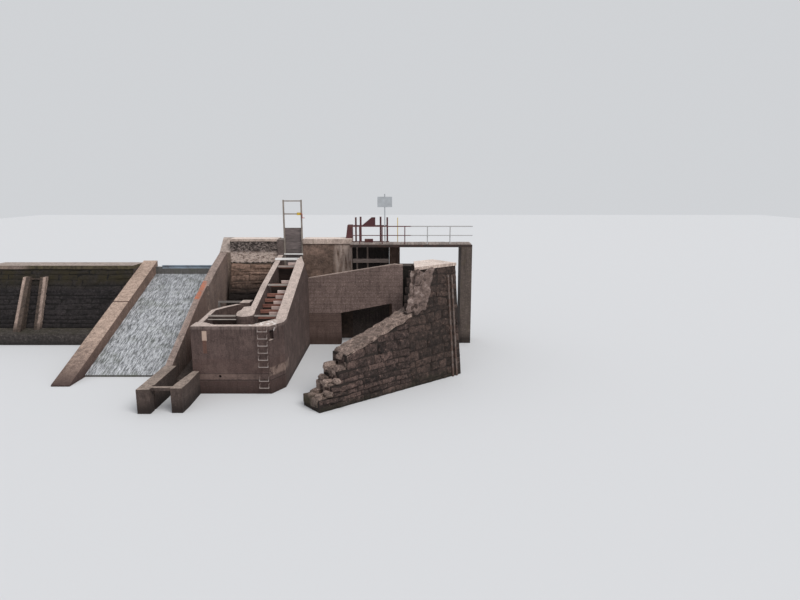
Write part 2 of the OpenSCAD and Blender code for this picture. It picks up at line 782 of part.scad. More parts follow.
// right wall of the gate channel and the length of head wall beside the gate bay
module channel_wall()
  color([0.22, 0.21, 0.19]) {
    xa = sw_cut + sw_rake;
    xb = sw_px(sw_s2, sw_d);
    db = sw_d + 0.3;
    plan([[xa, sw_py(sw_sx(xa, db), db)], [xb, sw_py(sw_sx(xb, db), db)], [xb, head_y], [xa, head_y]], 0, ch_z);
    blk(jr_x1, xb, head_y, head_back, 0, ch_head_z);
  }

// low part of the stone wall, its end stepped down to the water
module stone_low()
  color([0.33, 0.28, 0.25])
    difference() {
      s3 = sw_sx(sw_cut, sw_t);
      on_stone_wall()
        rotate([90, 0, 0])
          translate([0, 0, -sw_t])
            linear_extrude(height = sw_t)
              polygon([[sw_step_s[0], 0], [sw_step_s[0], sw_step_z[0]], [sw_step_s[1], sw_step_z[0]],
                [sw_step_s[1], sw_step_z[1]], [sw_step_s[2], sw_step_z[1]], [sw_step_s[2], sw_step_z[2]],
                [sw_step_s[3], sw_step_z[2]], [sw_step_s[3], sw_low_z],
                [s3, sw_low_z + sw_slope * (s3 - sw_step_s[3])], [s3, 0]]);
      on_stone_wall()
        stone_face_cut();
      blk(sw_cut, sw_cut + far, sw_y, sw_y + far, -100, far);
    }

// its raised part: the left side runs upstream, in line with the channel, and leans at the top
module stone_high()
  color([0.38, 0.34, 0.31])
    difference() {
      on_stone_wall()
        translate([sw_s1, 0, 0])
          cube([sw_s2 - sw_s1, sw_d, sw_high_z - scap_t]);
      on_stone_wall()
        stone_face_cut();
      front([[sw_cut - far, -100], [sw_cut, -100], [sw_cut, sw_shoulder],
        [sw_cut + sw_rake, sw_high_z - scap_t], [sw_cut + sw_rake, far], [sw_cut - far, far]],
        sw_y - far, sw_y + far);
    }

// concrete cap on the raised part
module stone_cap()
  color([0.55, 0.52, 0.48])
    on_stone_wall() {
      d0 = (sw_high_z - scap_t) * tan(sw_lean) - 60;
      x0 = sw_cut + sw_rake - 60;
      translate([0, 0, sw_high_z - scap_t])
        linear_extrude(height = scap_t)
          polygon([[sw_sx(x0, d0), d0], [sw_s2, d0], [sw_s2, sw_d], [sw_sx(x0, sw_d), sw_d]]);
    }

// two upright steel rails on its face
module wall_rails()
  color([0.4, 0.35, 0.32])
    on_stone_wall()
      difference() {
        for (s = [sw_s2 - 600, sw_s2 - 370])
          rotate([-sw_lean, 0, 0])
            translate([s, -srail_w, -200])
              cube([srail_w, srail_w, sw_high_z - 300]);
        translate([0, -1000, -1000])
          cube([far, 2000, 1000]);
      }

dam_wall();
dam_cap();
dam_ledge();
dam_ribs();
left_wall();
chute_slab();
crest_sill();
crest_beam();
right_wall();
entrance_wall();
entrance_post();
bay_end_pier();
bay_back_wall();
head_caps();
head_pilaster();
head_sills();
front_wall();
corner_wall();
outer_wall();
divider_wall();
side_wall();
upper_floor();
lower_floors();
upper_weirs();
lower_weirs();
struts();
bay_frame();
step_irons();
head_posts();
head_gate();
winch_box();
winch_crank();
gate_wall();
gate_jamb();
gate_leaf();
gate_stems();
hoist_frame();
bridge_deck();
bridge_beams();
bridge_rails();
bridge_abutment();
sign_post();
marker_post();
deflector_wall();
deflector_piers();
channel_wall();
stone_low();
stone_high();
stone_cap();
wall_rails();
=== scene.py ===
import math
import random
import bpy
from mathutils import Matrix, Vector, noise


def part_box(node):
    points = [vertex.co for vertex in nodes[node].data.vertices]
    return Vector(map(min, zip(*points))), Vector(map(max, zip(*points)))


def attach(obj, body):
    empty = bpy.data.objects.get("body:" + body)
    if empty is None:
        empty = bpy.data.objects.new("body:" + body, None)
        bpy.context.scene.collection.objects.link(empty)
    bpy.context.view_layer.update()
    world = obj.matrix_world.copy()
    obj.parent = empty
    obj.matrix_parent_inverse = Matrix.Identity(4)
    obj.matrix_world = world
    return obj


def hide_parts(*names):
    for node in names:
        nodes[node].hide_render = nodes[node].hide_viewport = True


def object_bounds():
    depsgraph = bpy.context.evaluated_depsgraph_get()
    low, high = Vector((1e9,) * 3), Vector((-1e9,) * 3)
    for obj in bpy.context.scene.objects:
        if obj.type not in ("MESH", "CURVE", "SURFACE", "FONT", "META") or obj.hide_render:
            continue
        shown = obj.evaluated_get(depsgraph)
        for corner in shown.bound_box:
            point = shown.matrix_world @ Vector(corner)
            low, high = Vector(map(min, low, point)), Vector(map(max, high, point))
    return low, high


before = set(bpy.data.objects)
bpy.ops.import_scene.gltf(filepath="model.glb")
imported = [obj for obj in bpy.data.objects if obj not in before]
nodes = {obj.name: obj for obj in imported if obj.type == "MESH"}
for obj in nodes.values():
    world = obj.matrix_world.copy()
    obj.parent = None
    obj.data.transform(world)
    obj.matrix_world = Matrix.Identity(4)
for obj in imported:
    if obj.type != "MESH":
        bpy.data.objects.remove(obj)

cad_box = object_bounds()

# The view of the photograph: a phone camera on a bridge some 28 m downstream of the dam's back,
# 8.6 m over the tailwater and tipped 11 degrees down, under an even, overcast sky.
cam_data = bpy.data.cameras.new("camera")
cam_data.lens = 27
cam_data.sensor_width = 36
cam_data.clip_end = 500
camera = bpy.data.objects.new("camera", cam_data)
camera.location = (9.675, -28.3, 8.6)
camera.rotation_euler = (math.radians(79), 0, 0)
bpy.context.scene.collection.objects.link(camera)
bpy.context.scene.camera = camera
bpy.context.scene.view_settings.view_transform = "Standard"

sun_data = bpy.data.lights.new("sky_key", "SUN")
sun_data.energy = 2.1
sun_data.angle = math.radians(35)
sun_data.color = (1.0, 0.97, 0.93)
sun = bpy.data.objects.new("sky_key", sun_data)
sun.rotation_euler = (math.radians(42), 0, math.radians(44))
bpy.context.scene.collection.objects.link(sun)

world = bpy.data.worlds.new("studio")
world.use_nodes = True
sky = world.node_tree.nodes["Background"].inputs
sky["Color"].default_value = (0.88, 0.9, 0.93, 1)
sky["Strength"].default_value = 0.72
bpy.context.scene.world = world

# The floor: a plain pale sheet a little below the works' own ground level, wide enough for a view
# from any side.
floor_mesh = bpy.data.meshes.new("floor")
floor_corners = [(-90, -60, 0), (110, -60, 0), (110, 140, 0), (-90, 140, 0)]
floor_mesh.from_pydata(floor_corners, [], [(0, 1, 2, 3)])
floor = bpy.data.objects.new("floor", floor_mesh)
floor.location.z = -0.005
bpy.context.scene.collection.objects.link(floor)
floor_mat = bpy.data.materials.new("floor")
floor_mat.use_nodes = True
floor_finish = floor_mat.node_tree.nodes["Principled BSDF"].inputs
floor_finish["Base Color"].default_value = (0.62, 0.63, 0.65, 1)
floor_finish["Roughness"].default_value = 0.9
floor_mesh.materials.append(floor_mat)


# The ladder's concrete: board-marked walls of grey-brown mass concrete, cast in place, stained by
# decades of damp: vertical streaks, a dark wet foot, and paler, pinkish worn tops, lightened
# further with painted sky light.
def put(nt, socket, value):
    """Links a socket to another one, or sets it to a number, a vector or a colour."""
    if isinstance(value, bpy.types.NodeSocket):
        nt.links.new(value, socket)
    elif socket.type == "RGBA":
        socket.default_value = (*value, 1)
    else:
        socket.default_value = value


def add(nt, kind, props=None, **inputs):
    """A shader node with its properties and inputs set."""
    n = nt.nodes.new(kind)
    for key, value in (props or {}).items():
        setattr(n, key, value)
    for key, value in inputs.items():
        put(nt, n.inputs[key.replace("_", " ")], value)
    return n


def mix(nt, fac, a, b):
    """Colour a where fac is 0, colour b where it is 1."""
    n = add(nt, "ShaderNodeMix", {"data_type": "RGBA"})
    for index, value in ((0, fac), (6, a), (7, b)):
        put(nt, n.inputs[index], value)
    return n.outputs[2]


def span(nt, value, a, b, c=0.0, d=1.0):
    """The range a to b of a value mapped to c to d, and held beyond its ends."""
    n = add(nt, "ShaderNodeMapRange", {"clamp": True}, Value=value,
            From_Min=a, From_Max=b, To_Min=c, To_Max=d)
    return n.outputs["Result"]


def maths(nt, kind, a, b):
    """One step of arithmetic on two values."""
    n = add(nt, "ShaderNodeMath", {"operation": kind})
    put(nt, n.inputs[0], a)
    put(nt, n.inputs[1], b)
    return n.outputs[0]


def times(nt, value, *others):
    """The product of its values."""
    for other in others:
        value = maths(nt, "MULTIPLY", value, other)
    return value


def plus(nt, a, b):
    """The sum of two values."""
    return maths(nt, "ADD", a, b)


def grain(nt, vec, scale, detail=6.0, stretch=None, rough=0.6):
    """Noise of that many features a metre, times stretch along each axis."""
    if stretch:
        vec = add(nt, "ShaderNodeMapping", None, Vector=vec, Scale=stretch).outputs["Vector"]
    n = add(nt, "ShaderNodeTexNoise", None, Vector=vec, Scale=scale, Detail=detail, Roughness=rough)
    return n.outputs["Fac"]


def shade(colour, amount):
    """A darker or lighter tone of a colour."""
    return tuple(min(1, c * amount) for c in colour)


def position(nt):
    """The point's place in the shared frame, whole and as its X, Y and Z."""
    vec = nt.nodes.new("ShaderNodeTexCoord").outputs["Object"]
    return vec, add(nt, "ShaderNodeSeparateXYZ", None, Vector=vec).outputs


def facing(nt):
    """The X, Y and Z of the surface's normal."""
    normal = nt.nodes.new("ShaderNodeNewGeometry").outputs["Normal"]
    return add(nt, "ShaderNodeSeparateXYZ", None, Vector=normal).outputs


def start(name):
    """A new material with its node tree, the point's place, and how far the surface faces up."""
    mat = bpy.data.materials.new(name)
    mat.use_nodes = True
    nt = mat.node_tree
    vec, xyz = position(nt)
    return mat, nt, vec, xyz, facing(nt)["Z"]


def finish_material(nt, colour, height, strength, rough, distance):
    """Sets a material's colour, its bump, as deep as distance, and its roughness."""
    bsdf = nt.nodes["Principled BSDF"].inputs
    bump = add(nt, "ShaderNodeBump", None, Height=height, Strength=strength, Distance=distance)
    put(nt, bsdf["Base Color"], colour)
    put(nt, bsdf["Normal"], bump.outputs["Normal"])
    put(nt, bsdf["Roughness"], rough)
    bsdf["Specular IOR Level"].default_value = 0.3


def concrete(name, side, top, dark, stain, wet=0.35, streaks=0.6, boards=0.0, stain_amount=0.5,
             extra=None):
    """Weathered concrete: its side and top colours, mottled, with dark runs and patches of stain,
    wet up to a height, and with the marks of boards of that width. The top colour, laid on the
    faces that look up, is worn paler and also holds painted sky light."""
    mat, nt, vec, xyz, up = start(name)
    broad = grain(nt, vec, 0.7, 5.0)
    mottle = grain(nt, vec, 5.0, 9.0, rough=0.8)
    fine = grain(nt, vec, 18.0, 9.0, rough=0.75)
    run = grain(nt, vec, 4.0, 8.0, (1.5, 1.5, 0.2), rough=0.7)
    pit = span(nt, fine, 0.46, 0.37, 0.0, 0.65)
    col = mix(nt, span(nt, broad, 0.35, 0.65), shade(side, 1.2), shade(side, 0.75))
    col = mix(nt, span(nt, mottle, 0.36, 0.58, 0.2, 0.9), shade(side, 0.5), col)
    col = mix(nt, span(nt, fine, 0.54, 0.66, 0.0, 0.8), col, shade(side, 1.9))
    col = mix(nt, pit, col, shade(side, 0.4))
    runs = times(nt, span(nt, run, 0.5, 0.64), span(nt, broad, 0.3, 0.55, 0.3, 1.0))
    col = mix(nt, times(nt, runs, streaks), col, dark)
    patches = span(nt, grain(nt, vec, 1.7, 8.0), 0.54, 0.66)
    col = mix(nt, times(nt, patches, stain_amount), col, stain)
    if boards:
        line = maths(nt, "PINGPONG", xyz["Z"], boards / 2)
        col = mix(nt, span(nt, line, 0.02, 0.0, 0.0, 0.55), col, dark)
    # The tops: worn paler, and lighter still with painted sky light where the faces look up.
    hollow = 0.68 if top[0] > 0.45 else 0.5
    worn = mix(nt, span(nt, mottle, 0.38, 0.56), shade(top, hollow), shade(top, 1.08))
    worn = mix(nt, span(nt, fine, 0.54, 0.64, 0.0, 0.85), worn, shade(top, 1.7))
    worn = mix(nt, pit, worn, shade(top, 0.4))
    worn = mix(nt, times(nt, span(nt, broad, 0.54, 0.7), 0.25), worn, dark)
    col = mix(nt, span(nt, up, 0.35, 0.75), col, worn)
    edge = times(nt, span(nt, xyz["Z"], wet + 0.3, wet - 0.15), span(nt, run, 0.2, 0.6, 0.6, 1.0))
    col = mix(nt, edge, col, shade(dark, 0.55))
    if extra:
        col = extra(nt, vec, xyz, up, col, mottle)
    finish_material(nt, col, plus(nt, times(nt, fine, 0.6), mottle), 0.8, 0.92, 0.05)
    return mat


def inside(nt, xyz, soft, x=None, y=None, z=None):
    """1 inside the given ranges of x, y and z, fading out over soft metres."""
    parts = []
    for axis, ends in (("X", x), ("Y", y), ("Z", z)):
        if ends:
            low, high = ends
            parts.append(times(nt, span(nt, xyz[axis], low - soft, low),
                               span(nt, xyz[axis], high + soft, high)))
    return times(nt, *parts)


def rounded(o, width):
    """Rounds the arrises of a piece."""
    b = o.modifiers.new("arris", "BEVEL")
    b.width = width
    b.segments = 2
    b.limit_method = "ANGLE"
    b.angle_limit = math.radians(35)


def dress(mat, bevel, *names):
    """Gives CAD nodes a material and, where the edges are worn, a small rounding."""
    for name in names:
        o = nodes[name]
        o.data.materials.clear()
        o.data.materials.append(mat)
        if bevel:
            rounded(o, bevel)


def front_marks(nt, vec, xyz, up, col, mottle):
    """The front face's marks: bands of pale and red-brown damp, drips, two dark joints, a crust on
    the corner, a pale patch with a run of rust under it, painted shade in the drain hole, and lime
    on the top."""
    face_y = (-4.6, -4.45)
    side_only = span(nt, up, 0.5, 0.3)
    front_only = times(nt, side_only, span(nt, xyz["Y"], -2.6, -3.2))
    wave = plus(nt, xyz["Z"], times(nt, mottle, 0.07))
    blotches = span(nt, mottle, 0.35, 0.6, 0.25, 1.0)
    left_part = span(nt, xyz["X"], 4.1, 2.9, 0.15, 1.0)
    for low, high, amount, tone, *only in (
            (0.62, 0.88, 0.5, (0.24, 0.165, 0.14), left_part),
            (0.0, 0.56, 0.6, (0.045, 0.023, 0.019)),
            (0.9, 1.5, 0.3, (0.085, 0.045, 0.037)),
            (2.76, 3.0, 0.45, (0.27, 0.21, 0.19))):
        band = times(nt, span(nt, wave, low, low + 0.05), span(nt, wave, high + 0.05, high))
        band = times(nt, band, front_only, blotches, *only)
        col = mix(nt, times(nt, band, amount), col, tone)
    drip = span(nt, grain(nt, vec, 5.0, 8.0, (1.6, 1.6, 0.12), rough=0.75), 0.5, 0.62)
    drip = times(nt, drip, front_only, span(nt, wave, 1.7, 2.7))
    col = mix(nt, times(nt, drip, 0.75), col, (0.03, 0.021, 0.019))
    for z, amount in ((0.6, 0.85), (0.875, 0.55)):
        line = times(nt, span(nt, wave, z, z + 0.015), span(nt, wave, z + 0.05, z + 0.03))
        col = mix(nt, times(nt, line, front_only, amount), col, (0.018, 0.012, 0.011))
    crust = inside(nt, xyz, 0.08, x=(4.32, 4.9), y=(-4.6, -2.9), z=(0.82, 1.08))
    crust = times(nt, crust, span(nt, mottle, 0.42, 0.5))
    col = mix(nt, times(nt, crust, 0.6), col, (0.33, 0.24, 0.2))
    patch = inside(nt, xyz, 0.02, x=(1.585, 1.755), y=face_y, z=(2.28, 2.67))
    patch = times(nt, patch, span(nt, mottle, 0.2, 0.5, 0.6, 1.0))
    col = mix(nt, patch, col, (0.46, 0.34, 0.28))
    rust = inside(nt, xyz, 0.03, x=(1.6, 1.73), y=face_y, z=(1.75, 2.28))
    col = mix(nt, times(nt, rust, 0.4), col, (0.16, 0.065, 0.04))
    dry = times(nt, span(nt, xyz["X"], 4.75, 4.95), side_only)
    dry = times(nt, dry, span(nt, mottle, 0.35, 0.6, 0.2, 0.5))
    col = mix(nt, dry, col, (0.24, 0.18, 0.16))
    # The drain hole: a small disc painted near black, painted shade inside the hole.
    drain_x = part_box("front_wall")[0].x + 1.11
    drain_r = 0.06
    drain_shade = inside(nt, xyz, 0.004, x=(drain_x - drain_r, drain_x + drain_r), y=(-4.492, -4.3),
                   z=(0.69, 0.81))
    col = mix(nt, times(nt, drain_shade, 0.9), col, (0.008, 0.006, 0.006))
    lime = inside(nt, xyz, 0.1, x=(3.5, 4.45), y=(-4.3, -3.5), z=(2.7, 3.2))
    lime = times(nt, lime, span(nt, grain(nt, vec, 7.0, 6.0), 0.52, 0.58))
    return mix(nt, lime, col, (0.85, 0.8, 0.77))


ladder_concrete = concrete(
    "ladder_concrete", (0.108, 0.073, 0.066), (0.5, 0.41, 0.37), (0.034, 0.023, 0.021),
    (0.17, 0.12, 0.105), 0.12, 0.55, extra=front_marks)
dress(ladder_concrete, 0.02, "front_wall", "corner_wall", "outer_wall", "divider_wall", "side_wall")


# The chute walls: the same concrete, warmer where it dries. The left one is tan and speckled, its
# eroded tip never dry; the right one is thin, and stained with rust at the top.
def wet_tip(nt, vec, xyz, up, col, mottle):
    """The wall's lower end, purple-brown where it stays wet."""
    wave = plus(nt, xyz["Z"], times(nt, mottle, 1.2))
    return mix(nt, span(nt, wave, 2.1, 1.0, 0.0, 0.62), col, (0.07, 0.043, 0.04))


left_concrete = concrete(
    "left_concrete", (0.23, 0.155, 0.126), (0.43, 0.32, 0.262), (0.06, 0.04, 0.033),
    (0.2, 0.13, 0.1), 0.2, 0.4, stain_amount=0.35, extra=wet_tip)
dress(left_concrete, 0.03, "left_wall")


def rust_head(nt, vec, xyz, up, col, mottle):
    """The rust that a fitting has left on the wall's top, and the dark red damp by the bay."""
    spot = inside(nt, xyz, 0.12, x=(-0.5, -0.1), y=(0.2, 1.6))
    spot = times(nt, spot, span(nt, mottle, 0.4, 0.54), span(nt, up, 0.3, 0.6))
    col = mix(nt, times(nt, spot, 0.8), col, (0.5, 0.13, 0.05))
    damp = inside(nt, xyz, 0.3, x=(0.06, 0.2), y=(-2.0, 0.9), z=(0.0, 3.4))
    damp = times(nt, damp, span(nt, mottle, 0.35, 0.55))
    return mix(nt, times(nt, damp, 0.4), col, (0.1, 0.04, 0.028))


right_concrete = concrete(
    "right_concrete", (0.24, 0.178, 0.155), (0.31, 0.24, 0.212), (0.045, 0.032, 0.027),
    (0.2, 0.14, 0.115), 0.15, 0.6, extra=rust_head)
dress(right_concrete, 0.015, "right_wall")
entrance_concrete = concrete(
    "entrance_concrete", (0.088, 0.064, 0.056), (0.3, 0.24, 0.205), (0.035, 0.024, 0.021),
    (0.12, 0.085, 0.072), 0.3, 0.6)
dress(entrance_concrete, 0.02, "entrance_wall", "entrance_post")

# The chute's slab and sill, and the floors of the ladder: smooth concrete that never dries, dark,
# with white and green stains drawn out down the slope.
wet_slab, nt, vec, xyz, up = start("wet_slab")
flow = grain(nt, vec, 5.5, 9.0, (3.0, 0.45, 0.45), rough=0.8)
fine = grain(nt, vec, 14.0, 8.0)
col = mix(nt, span(nt, flow, 0.35, 0.6), (0.06, 0.062, 0.066), (0.24, 0.25, 0.265))
white = times(nt, span(nt, flow, 0.45, 0.6), span(nt, up, 0.1, 0.4, 0.1, 0.8),
              span(nt, xyz["Z"], 3.6, 2.2, 0.55, 1.0))
col = mix(nt, white, col, (0.68, 0.7, 0.74))
col = mix(nt, span(nt, up, 0.3, 0.1, 0.0, 0.75), col, (0.075, 0.066, 0.058))
algae = span(nt, grain(nt, vec, 1.1, 6.0), 0.5, 0.66)
col = mix(nt, times(nt, algae, 0.35), col, (0.06, 0.075, 0.035))
col = mix(nt, times(nt, span(nt, fine, 0.55, 0.7), 0.4), col, (0.2, 0.2, 0.2))
gloss = span(nt, fine, 0.3, 0.7, 0.35, 0.75)
finish_material(nt, col, plus(nt, fine, flow), 0.5, gloss, 0.02)
dress(wet_slab, 0.01, "chute_slab", "crest_sill")
wet_floor = concrete(
    "wet_floor", (0.07, 0.055, 0.05), (0.09, 0.07, 0.062), (0.02, 0.015, 0.013),
    (0.05, 0.045, 0.03), -1.0)
dress(wet_floor, 0.01, "upper_floor", "lower_floors", "head_sills")


# The steel channel along the crest: chalky, and coloured blue-grey as a painted reflection of the
# sky on the water over it, with rust coming through at its edges.
def metal(name, paint, rust, wear, rough=0.6):
    """Painted or bare steel, rusted more where wear is higher."""
    mat, nt, vec, xyz, up = start(name)
    broad = grain(nt, vec, 3.0, 6.0)
    fine = grain(nt, vec, 30.0, 8.0)
    col = mix(nt, span(nt, broad, 0.3, 0.7), paint, shade(paint, 0.7))
    col = mix(nt, span(nt, plus(nt, broad, fine), 1.2 - wear, 1.35 - wear), col, rust)
    finish_material(nt, col, fine, 0.25, rough, 0.005)
    return mat


dress(metal("crest_steel", (0.33, 0.4, 0.47), (0.16, 0.1, 0.07), 0.1), 0.003, "crest_beam")


# The dam: old coursed rubble, nearly black with damp and moss, under a poured cap of pale concrete.
# Each stone is laid by hand in level courses, the face leaning back to the crest.
def stone_tone(nt):
    """The tone that each stone or board has for itself, from 0 to 1."""
    return add(nt, "ShaderNodeAttribute", {"attribute_name": "tone"}).outputs["Fac"]


def stone_material(name, light, mid, dark, moss, moss_from, moss_to, wet=0.5):
    """Split stone, each one between mid and light, with painted shade in its hollows and painted
    highlights on its bumps, mossy between two heights and upwards, and wet at its foot."""
    mat, nt, vec, xyz, up = start(name)
    broad = grain(nt, vec, 1.6, 6.0)
    fine = grain(nt, vec, 18.0, 9.0, rough=0.75)
    mottle = grain(nt, vec, 6.0, 9.0, rough=0.8)
    col = mix(nt, stone_tone(nt), mid, light)
    # Painted shade in the hollows of the bump, then painted highlights on its raised parts.
    col = mix(nt, times(nt, span(nt, mottle, 0.5, 0.4), 0.85), col, dark)
    col = mix(nt, times(nt, span(nt, mottle, 0.54, 0.62), 0.6), col, shade(light, 2.0))
    col = mix(nt, times(nt, span(nt, fine, 0.45, 0.65), 0.6), col, dark)
    col = mix(nt, times(nt, span(nt, broad, 0.5, 0.7), 0.55), col, dark)
    green = times(nt, span(nt, xyz["Z"], moss_from, moss_to), span(nt, broad, 0.3, 0.6))
    col = mix(nt, green, col, moss)
    col = mix(nt, span(nt, xyz["Z"], wet, wet - 0.5, 0.0, 0.85), col, shade(dark, 0.5))
    finish_material(nt, col, plus(nt, fine, mottle), 1.0, 0.92, 0.07)
    return mat


def coursed(name, stone, dark, joint):
    """Flat coursed masonry for the faces that nobody sees close by: blocks of 0.9 m by 0.3 m, out
    of true."""
    mat, nt, vec, xyz, up = start(name)
    mottle = grain(nt, vec, 6.0, 9.0, rough=0.75)
    end_on = maths(nt, "GREATER_THAN", maths(nt, "ABSOLUTE", facing(nt)["X"], 1.0), 0.7)
    run = plus(nt, times(nt, xyz["Y"], end_on),
               times(nt, xyz["X"], maths(nt, "SUBTRACT", 1.0, end_on)))
    bend = times(nt, grain(nt, vec, 1.3, 3.0), 0.35)
    at = add(nt, "ShaderNodeCombineXYZ", None, X=plus(nt, run, bend), Y=plus(nt, xyz["Z"], bend))
    blocks = add(nt, "ShaderNodeTexBrick", {"offset": 0.5, "squash": 0.7, "squash_frequency": 3},
                 Vector=at.outputs["Vector"], Color1=stone, Color2=dark, Mortar=joint, Scale=1.0,
                 Mortar_Size=0.012, Mortar_Smooth=0.3, Brick_Width=0.9, Row_Height=0.3).outputs
    col = mix(nt, span(nt, mottle, 0.4, 0.62, 0.0, 0.7), blocks["Color"], joint)
    col = mix(nt, span(nt, xyz["Z"], 1.1, 0.3, 0.0, 0.7), col, joint)
    col = mix(nt, span(nt, up, 0.05, 0.15), col, shade(joint, 0.6))
    height = plus(nt, times(nt, blocks["Fac"], -0.8), mottle)
    finish_material(nt, col, height, 0.9, 0.9, 0.05)
    return mat


def new_piece(name, out, mat, body, smooth=False):
    """A mesh piece of (corners, faces, tones) that rides on a body, cut off flat at the dam's end
    and at ground level."""
    corners, faces, tones = out
    mesh = bpy.data.meshes.new(name)
    mesh.from_pydata([Vector((max(v[0], cad_box[0][0]), v[1], max(v[2], 0.0))) for v in corners],
                     [], faces)
    mesh.materials.append(mat)
    if tones:
        layer = mesh.attributes.new("tone", "FLOAT", "POINT")
        layer.data.foreach_set("value", tones)
    if smooth:
        mesh.shade_smooth()
    o = bpy.data.objects.new(name, mesh)
    bpy.context.scene.collection.objects.link(o)
    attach(o, body)
    return o


def sheet(out, nu, nv, point, flip=False):
    """A grid of nu by nv cells: point(i, j) gives each corner and its tone."""
    corners, faces, tones = out
    first = len(corners)
    for j in range(nv + 1):
        for i in range(nu + 1):
            corner, tone = point(i, j)
            corners.append(corner)
            tones.append(tone)
    for j in range(nv):
        for i in range(nu):
            k = first + j * (nu + 1) + i
            faces.append((k + 1, k, k + nu + 1, k + nu + 2) if flip
                         else (k, k + 1, k + nu + 2, k + nu + 1))
    return first


def skirt(out, first, nu, nv, lowered):
    """Sides that run from the rim of the grid that starts at first down to lowered(corner)."""
    corners, faces, tones = out
    row = nu + 1
    rim = list(range(row)) + [j * row + nu for j in range(1, nv + 1)]
    rim += [nv * row + i for i in range(nu - 1, -1, -1)] + [j * row for j in range(nv - 1, 0, -1)]
    back = len(corners)
    for k in rim:
        corners.append(lowered(corners[first + k]))
        tones.append(tones[first + k])
    for k, at in enumerate(rim):
        after = (k + 1) % len(rim)
        faces.append((first + at, back + k, back + after, first + rim[after]))


def add_stone(out, corners, away, depth, bulge, rng):
    """One stone with a rough, rounded face between four corners, standing out along away."""
    nu, nv = 7, 5
    tone = rng.random()
    seed = Vector((rng.random() * 90, rng.random() * 90, rng.random() * 90))
    a, b, c, d = (Vector(p) for p in corners)
    centre = (a + b + c + d) / 4
    chips = [rng.uniform(0, 0.05) for _ in range(4)]

    def point(i, j):
        """A point of the rounded face, its corners chipped."""
        u, v = i / nu, j / nv
        p = (a * (1 - u) + b * u) * (1 - v) + (d * (1 - u) + c * u) * v
        from_rim = min(i, nu - i, j, nv - j)
        swell = (0.15, 0.85, 1.0)[min(from_rim, 2)]
        out_by = bulge * (swell + 1.1 * noise.noise(p * 4.5 + seed))
        pull = 0.0
        if i in (0, nu) and j in (0, nv):
            pull = 0.02 + chips[(i > 0) + 2 * (j > 0)]
        elif from_rim == 0:
            pull = 0.05 * noise.noise(p * 7 + seed)
        return p + (centre - p) * pull + away * out_by, tone

    first = sheet(out, nu, nv, point)
    skirt(out, first, nu, nv, lambda corner: corner - away * (depth + bulge))


def level(z):
    """The same height all along a face."""
    return lambda s: z


def lay(out, face, reach, low, top, course, length, joint, depth, bulge, rng, wave=0.05, left=None):
    """Courses of stones over a face, given as its origin and its directions along, up and away.
    They reach between two places along it, or from left(height), and from low(s) to top(s)."""
    origin, along, up, away = face
    u0, u1 = reach
    v = min(low(u0), low(u1))
    highest = max(top(u0), top(u1), top((u0 + u1) / 2))

    def bend(s, z):
        """How far a course strays from level. The lowest one doesn't."""
        if z < 0.05:
            return 0.0
        return wave * noise.noise(Vector((s * 0.9, z * 1.1, 7.3)))

    while v < highest - joint * 3:
        h = rng.uniform(*course)
        u = u0 - rng.random() * length[0]
        while u < u1:
            w = rng.uniform(*length)
            s0 = max(u, u0, left(v + h / 2) if left else u0) + joint / 2
            s1 = min(u + w, u1) - joint / 2
            u += w
            if s1 - s0 < 0.08:
                continue
            (low0, high0), (low1, high1) = (
                (max(v + joint / 2, low(s) + 0.001), min(v + h - joint / 2, top(s) - 0.001))
                for s in (s0, s1))
            if min(high0 - low0, high1 - low1) < 0.01 or max(high0 - low0, high1 - low1) < 0.05:
                continue
            jit = [rng.uniform(-0.4, 0.4) * joint for _ in range(8)]
            corners = []
            for k, (s, z) in enumerate(((s0, low0), (s1, low1), (s1, max(high1, low1 + 0.03)),
                                        (s0, max(high0, low0 + 0.03)))):
                z = max(low(s), min(top(s), z + jit[k + 4] + bend(s, z)))
                corners.append(origin + along * (s + jit[k]) + up * z)
            add_stone(out, corners, away, depth, bulge * rng.uniform(0.5, 1.4), rng)
        v += h


rightward, upstream, upright = Vector((1, 0, 0)), Vector((0, 1, 0)), Vector((0, 0, 1))
lo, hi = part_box("dam_wall")
ledge_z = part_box("dam_ledge")[1].z
dam_foot_y, dam_crest_y = 3.95, 5.3
lean = Vector((0, dam_crest_y - dam_foot_y, hi.z - ledge_z))
dam_up = lean.normalized()
dam_out = Vector((0, -dam_up.z, dam_up.y))
dam_face = (Vector((lo.x, dam_foot_y, ledge_z)), rightward, dam_up, dam_out)
dam_stone = stone_material(
    "dam_stone", (0.036, 0.03, 0.031), (0.02, 0.017, 0.018), (0.006, 0.005, 0.005),
    (0.03, 0.024, 0.012), 2.75, 3.3, 1.0)
stones = ([], [], [])
lay(stones, dam_face, (0, hi.x - lo.x), level(0.0), level(lean.length), (0.16, 0.42), (0.5, 2.2),
    0.018, 0.12, 0.04, random.Random(11), 0.1)
new_piece("dam_face_stones", stones, dam_stone, "works")
dam_masonry = coursed(
    "dam_masonry", (0.085, 0.07, 0.064), (0.045, 0.037, 0.034), (0.014, 0.012, 0.011))
dress(dam_masonry, 0, "dam_wall")

# The ledge at the dam's toe: a row of long, worn stones that stands out a little from its foot, as
# long as the dam and grey with dried silt.
ledge_stone = stone_material(
    "ledge_stone", (0.12, 0.1, 0.095), (0.075, 0.064, 0.06), (0.02, 0.018, 0.017),
    (0.045, 0.04, 0.02), 0.5, 0.9, 0.45)
dress(ledge_stone, 0.04, "dam_ledge")

# The poured caps and the strips on the dam: pale grey concrete, pinkish on top, its edges and the
# strips' inner sides grown over with moss.
cap_concrete = concrete(
    "cap_concrete", (0.27, 0.205, 0.17), (0.38, 0.315, 0.28), (0.06, 0.05, 0.035),
    (0.17, 0.13, 0.09), -1.0, 0.6)
dress(cap_concrete, 0.025, "bay_end_pier")


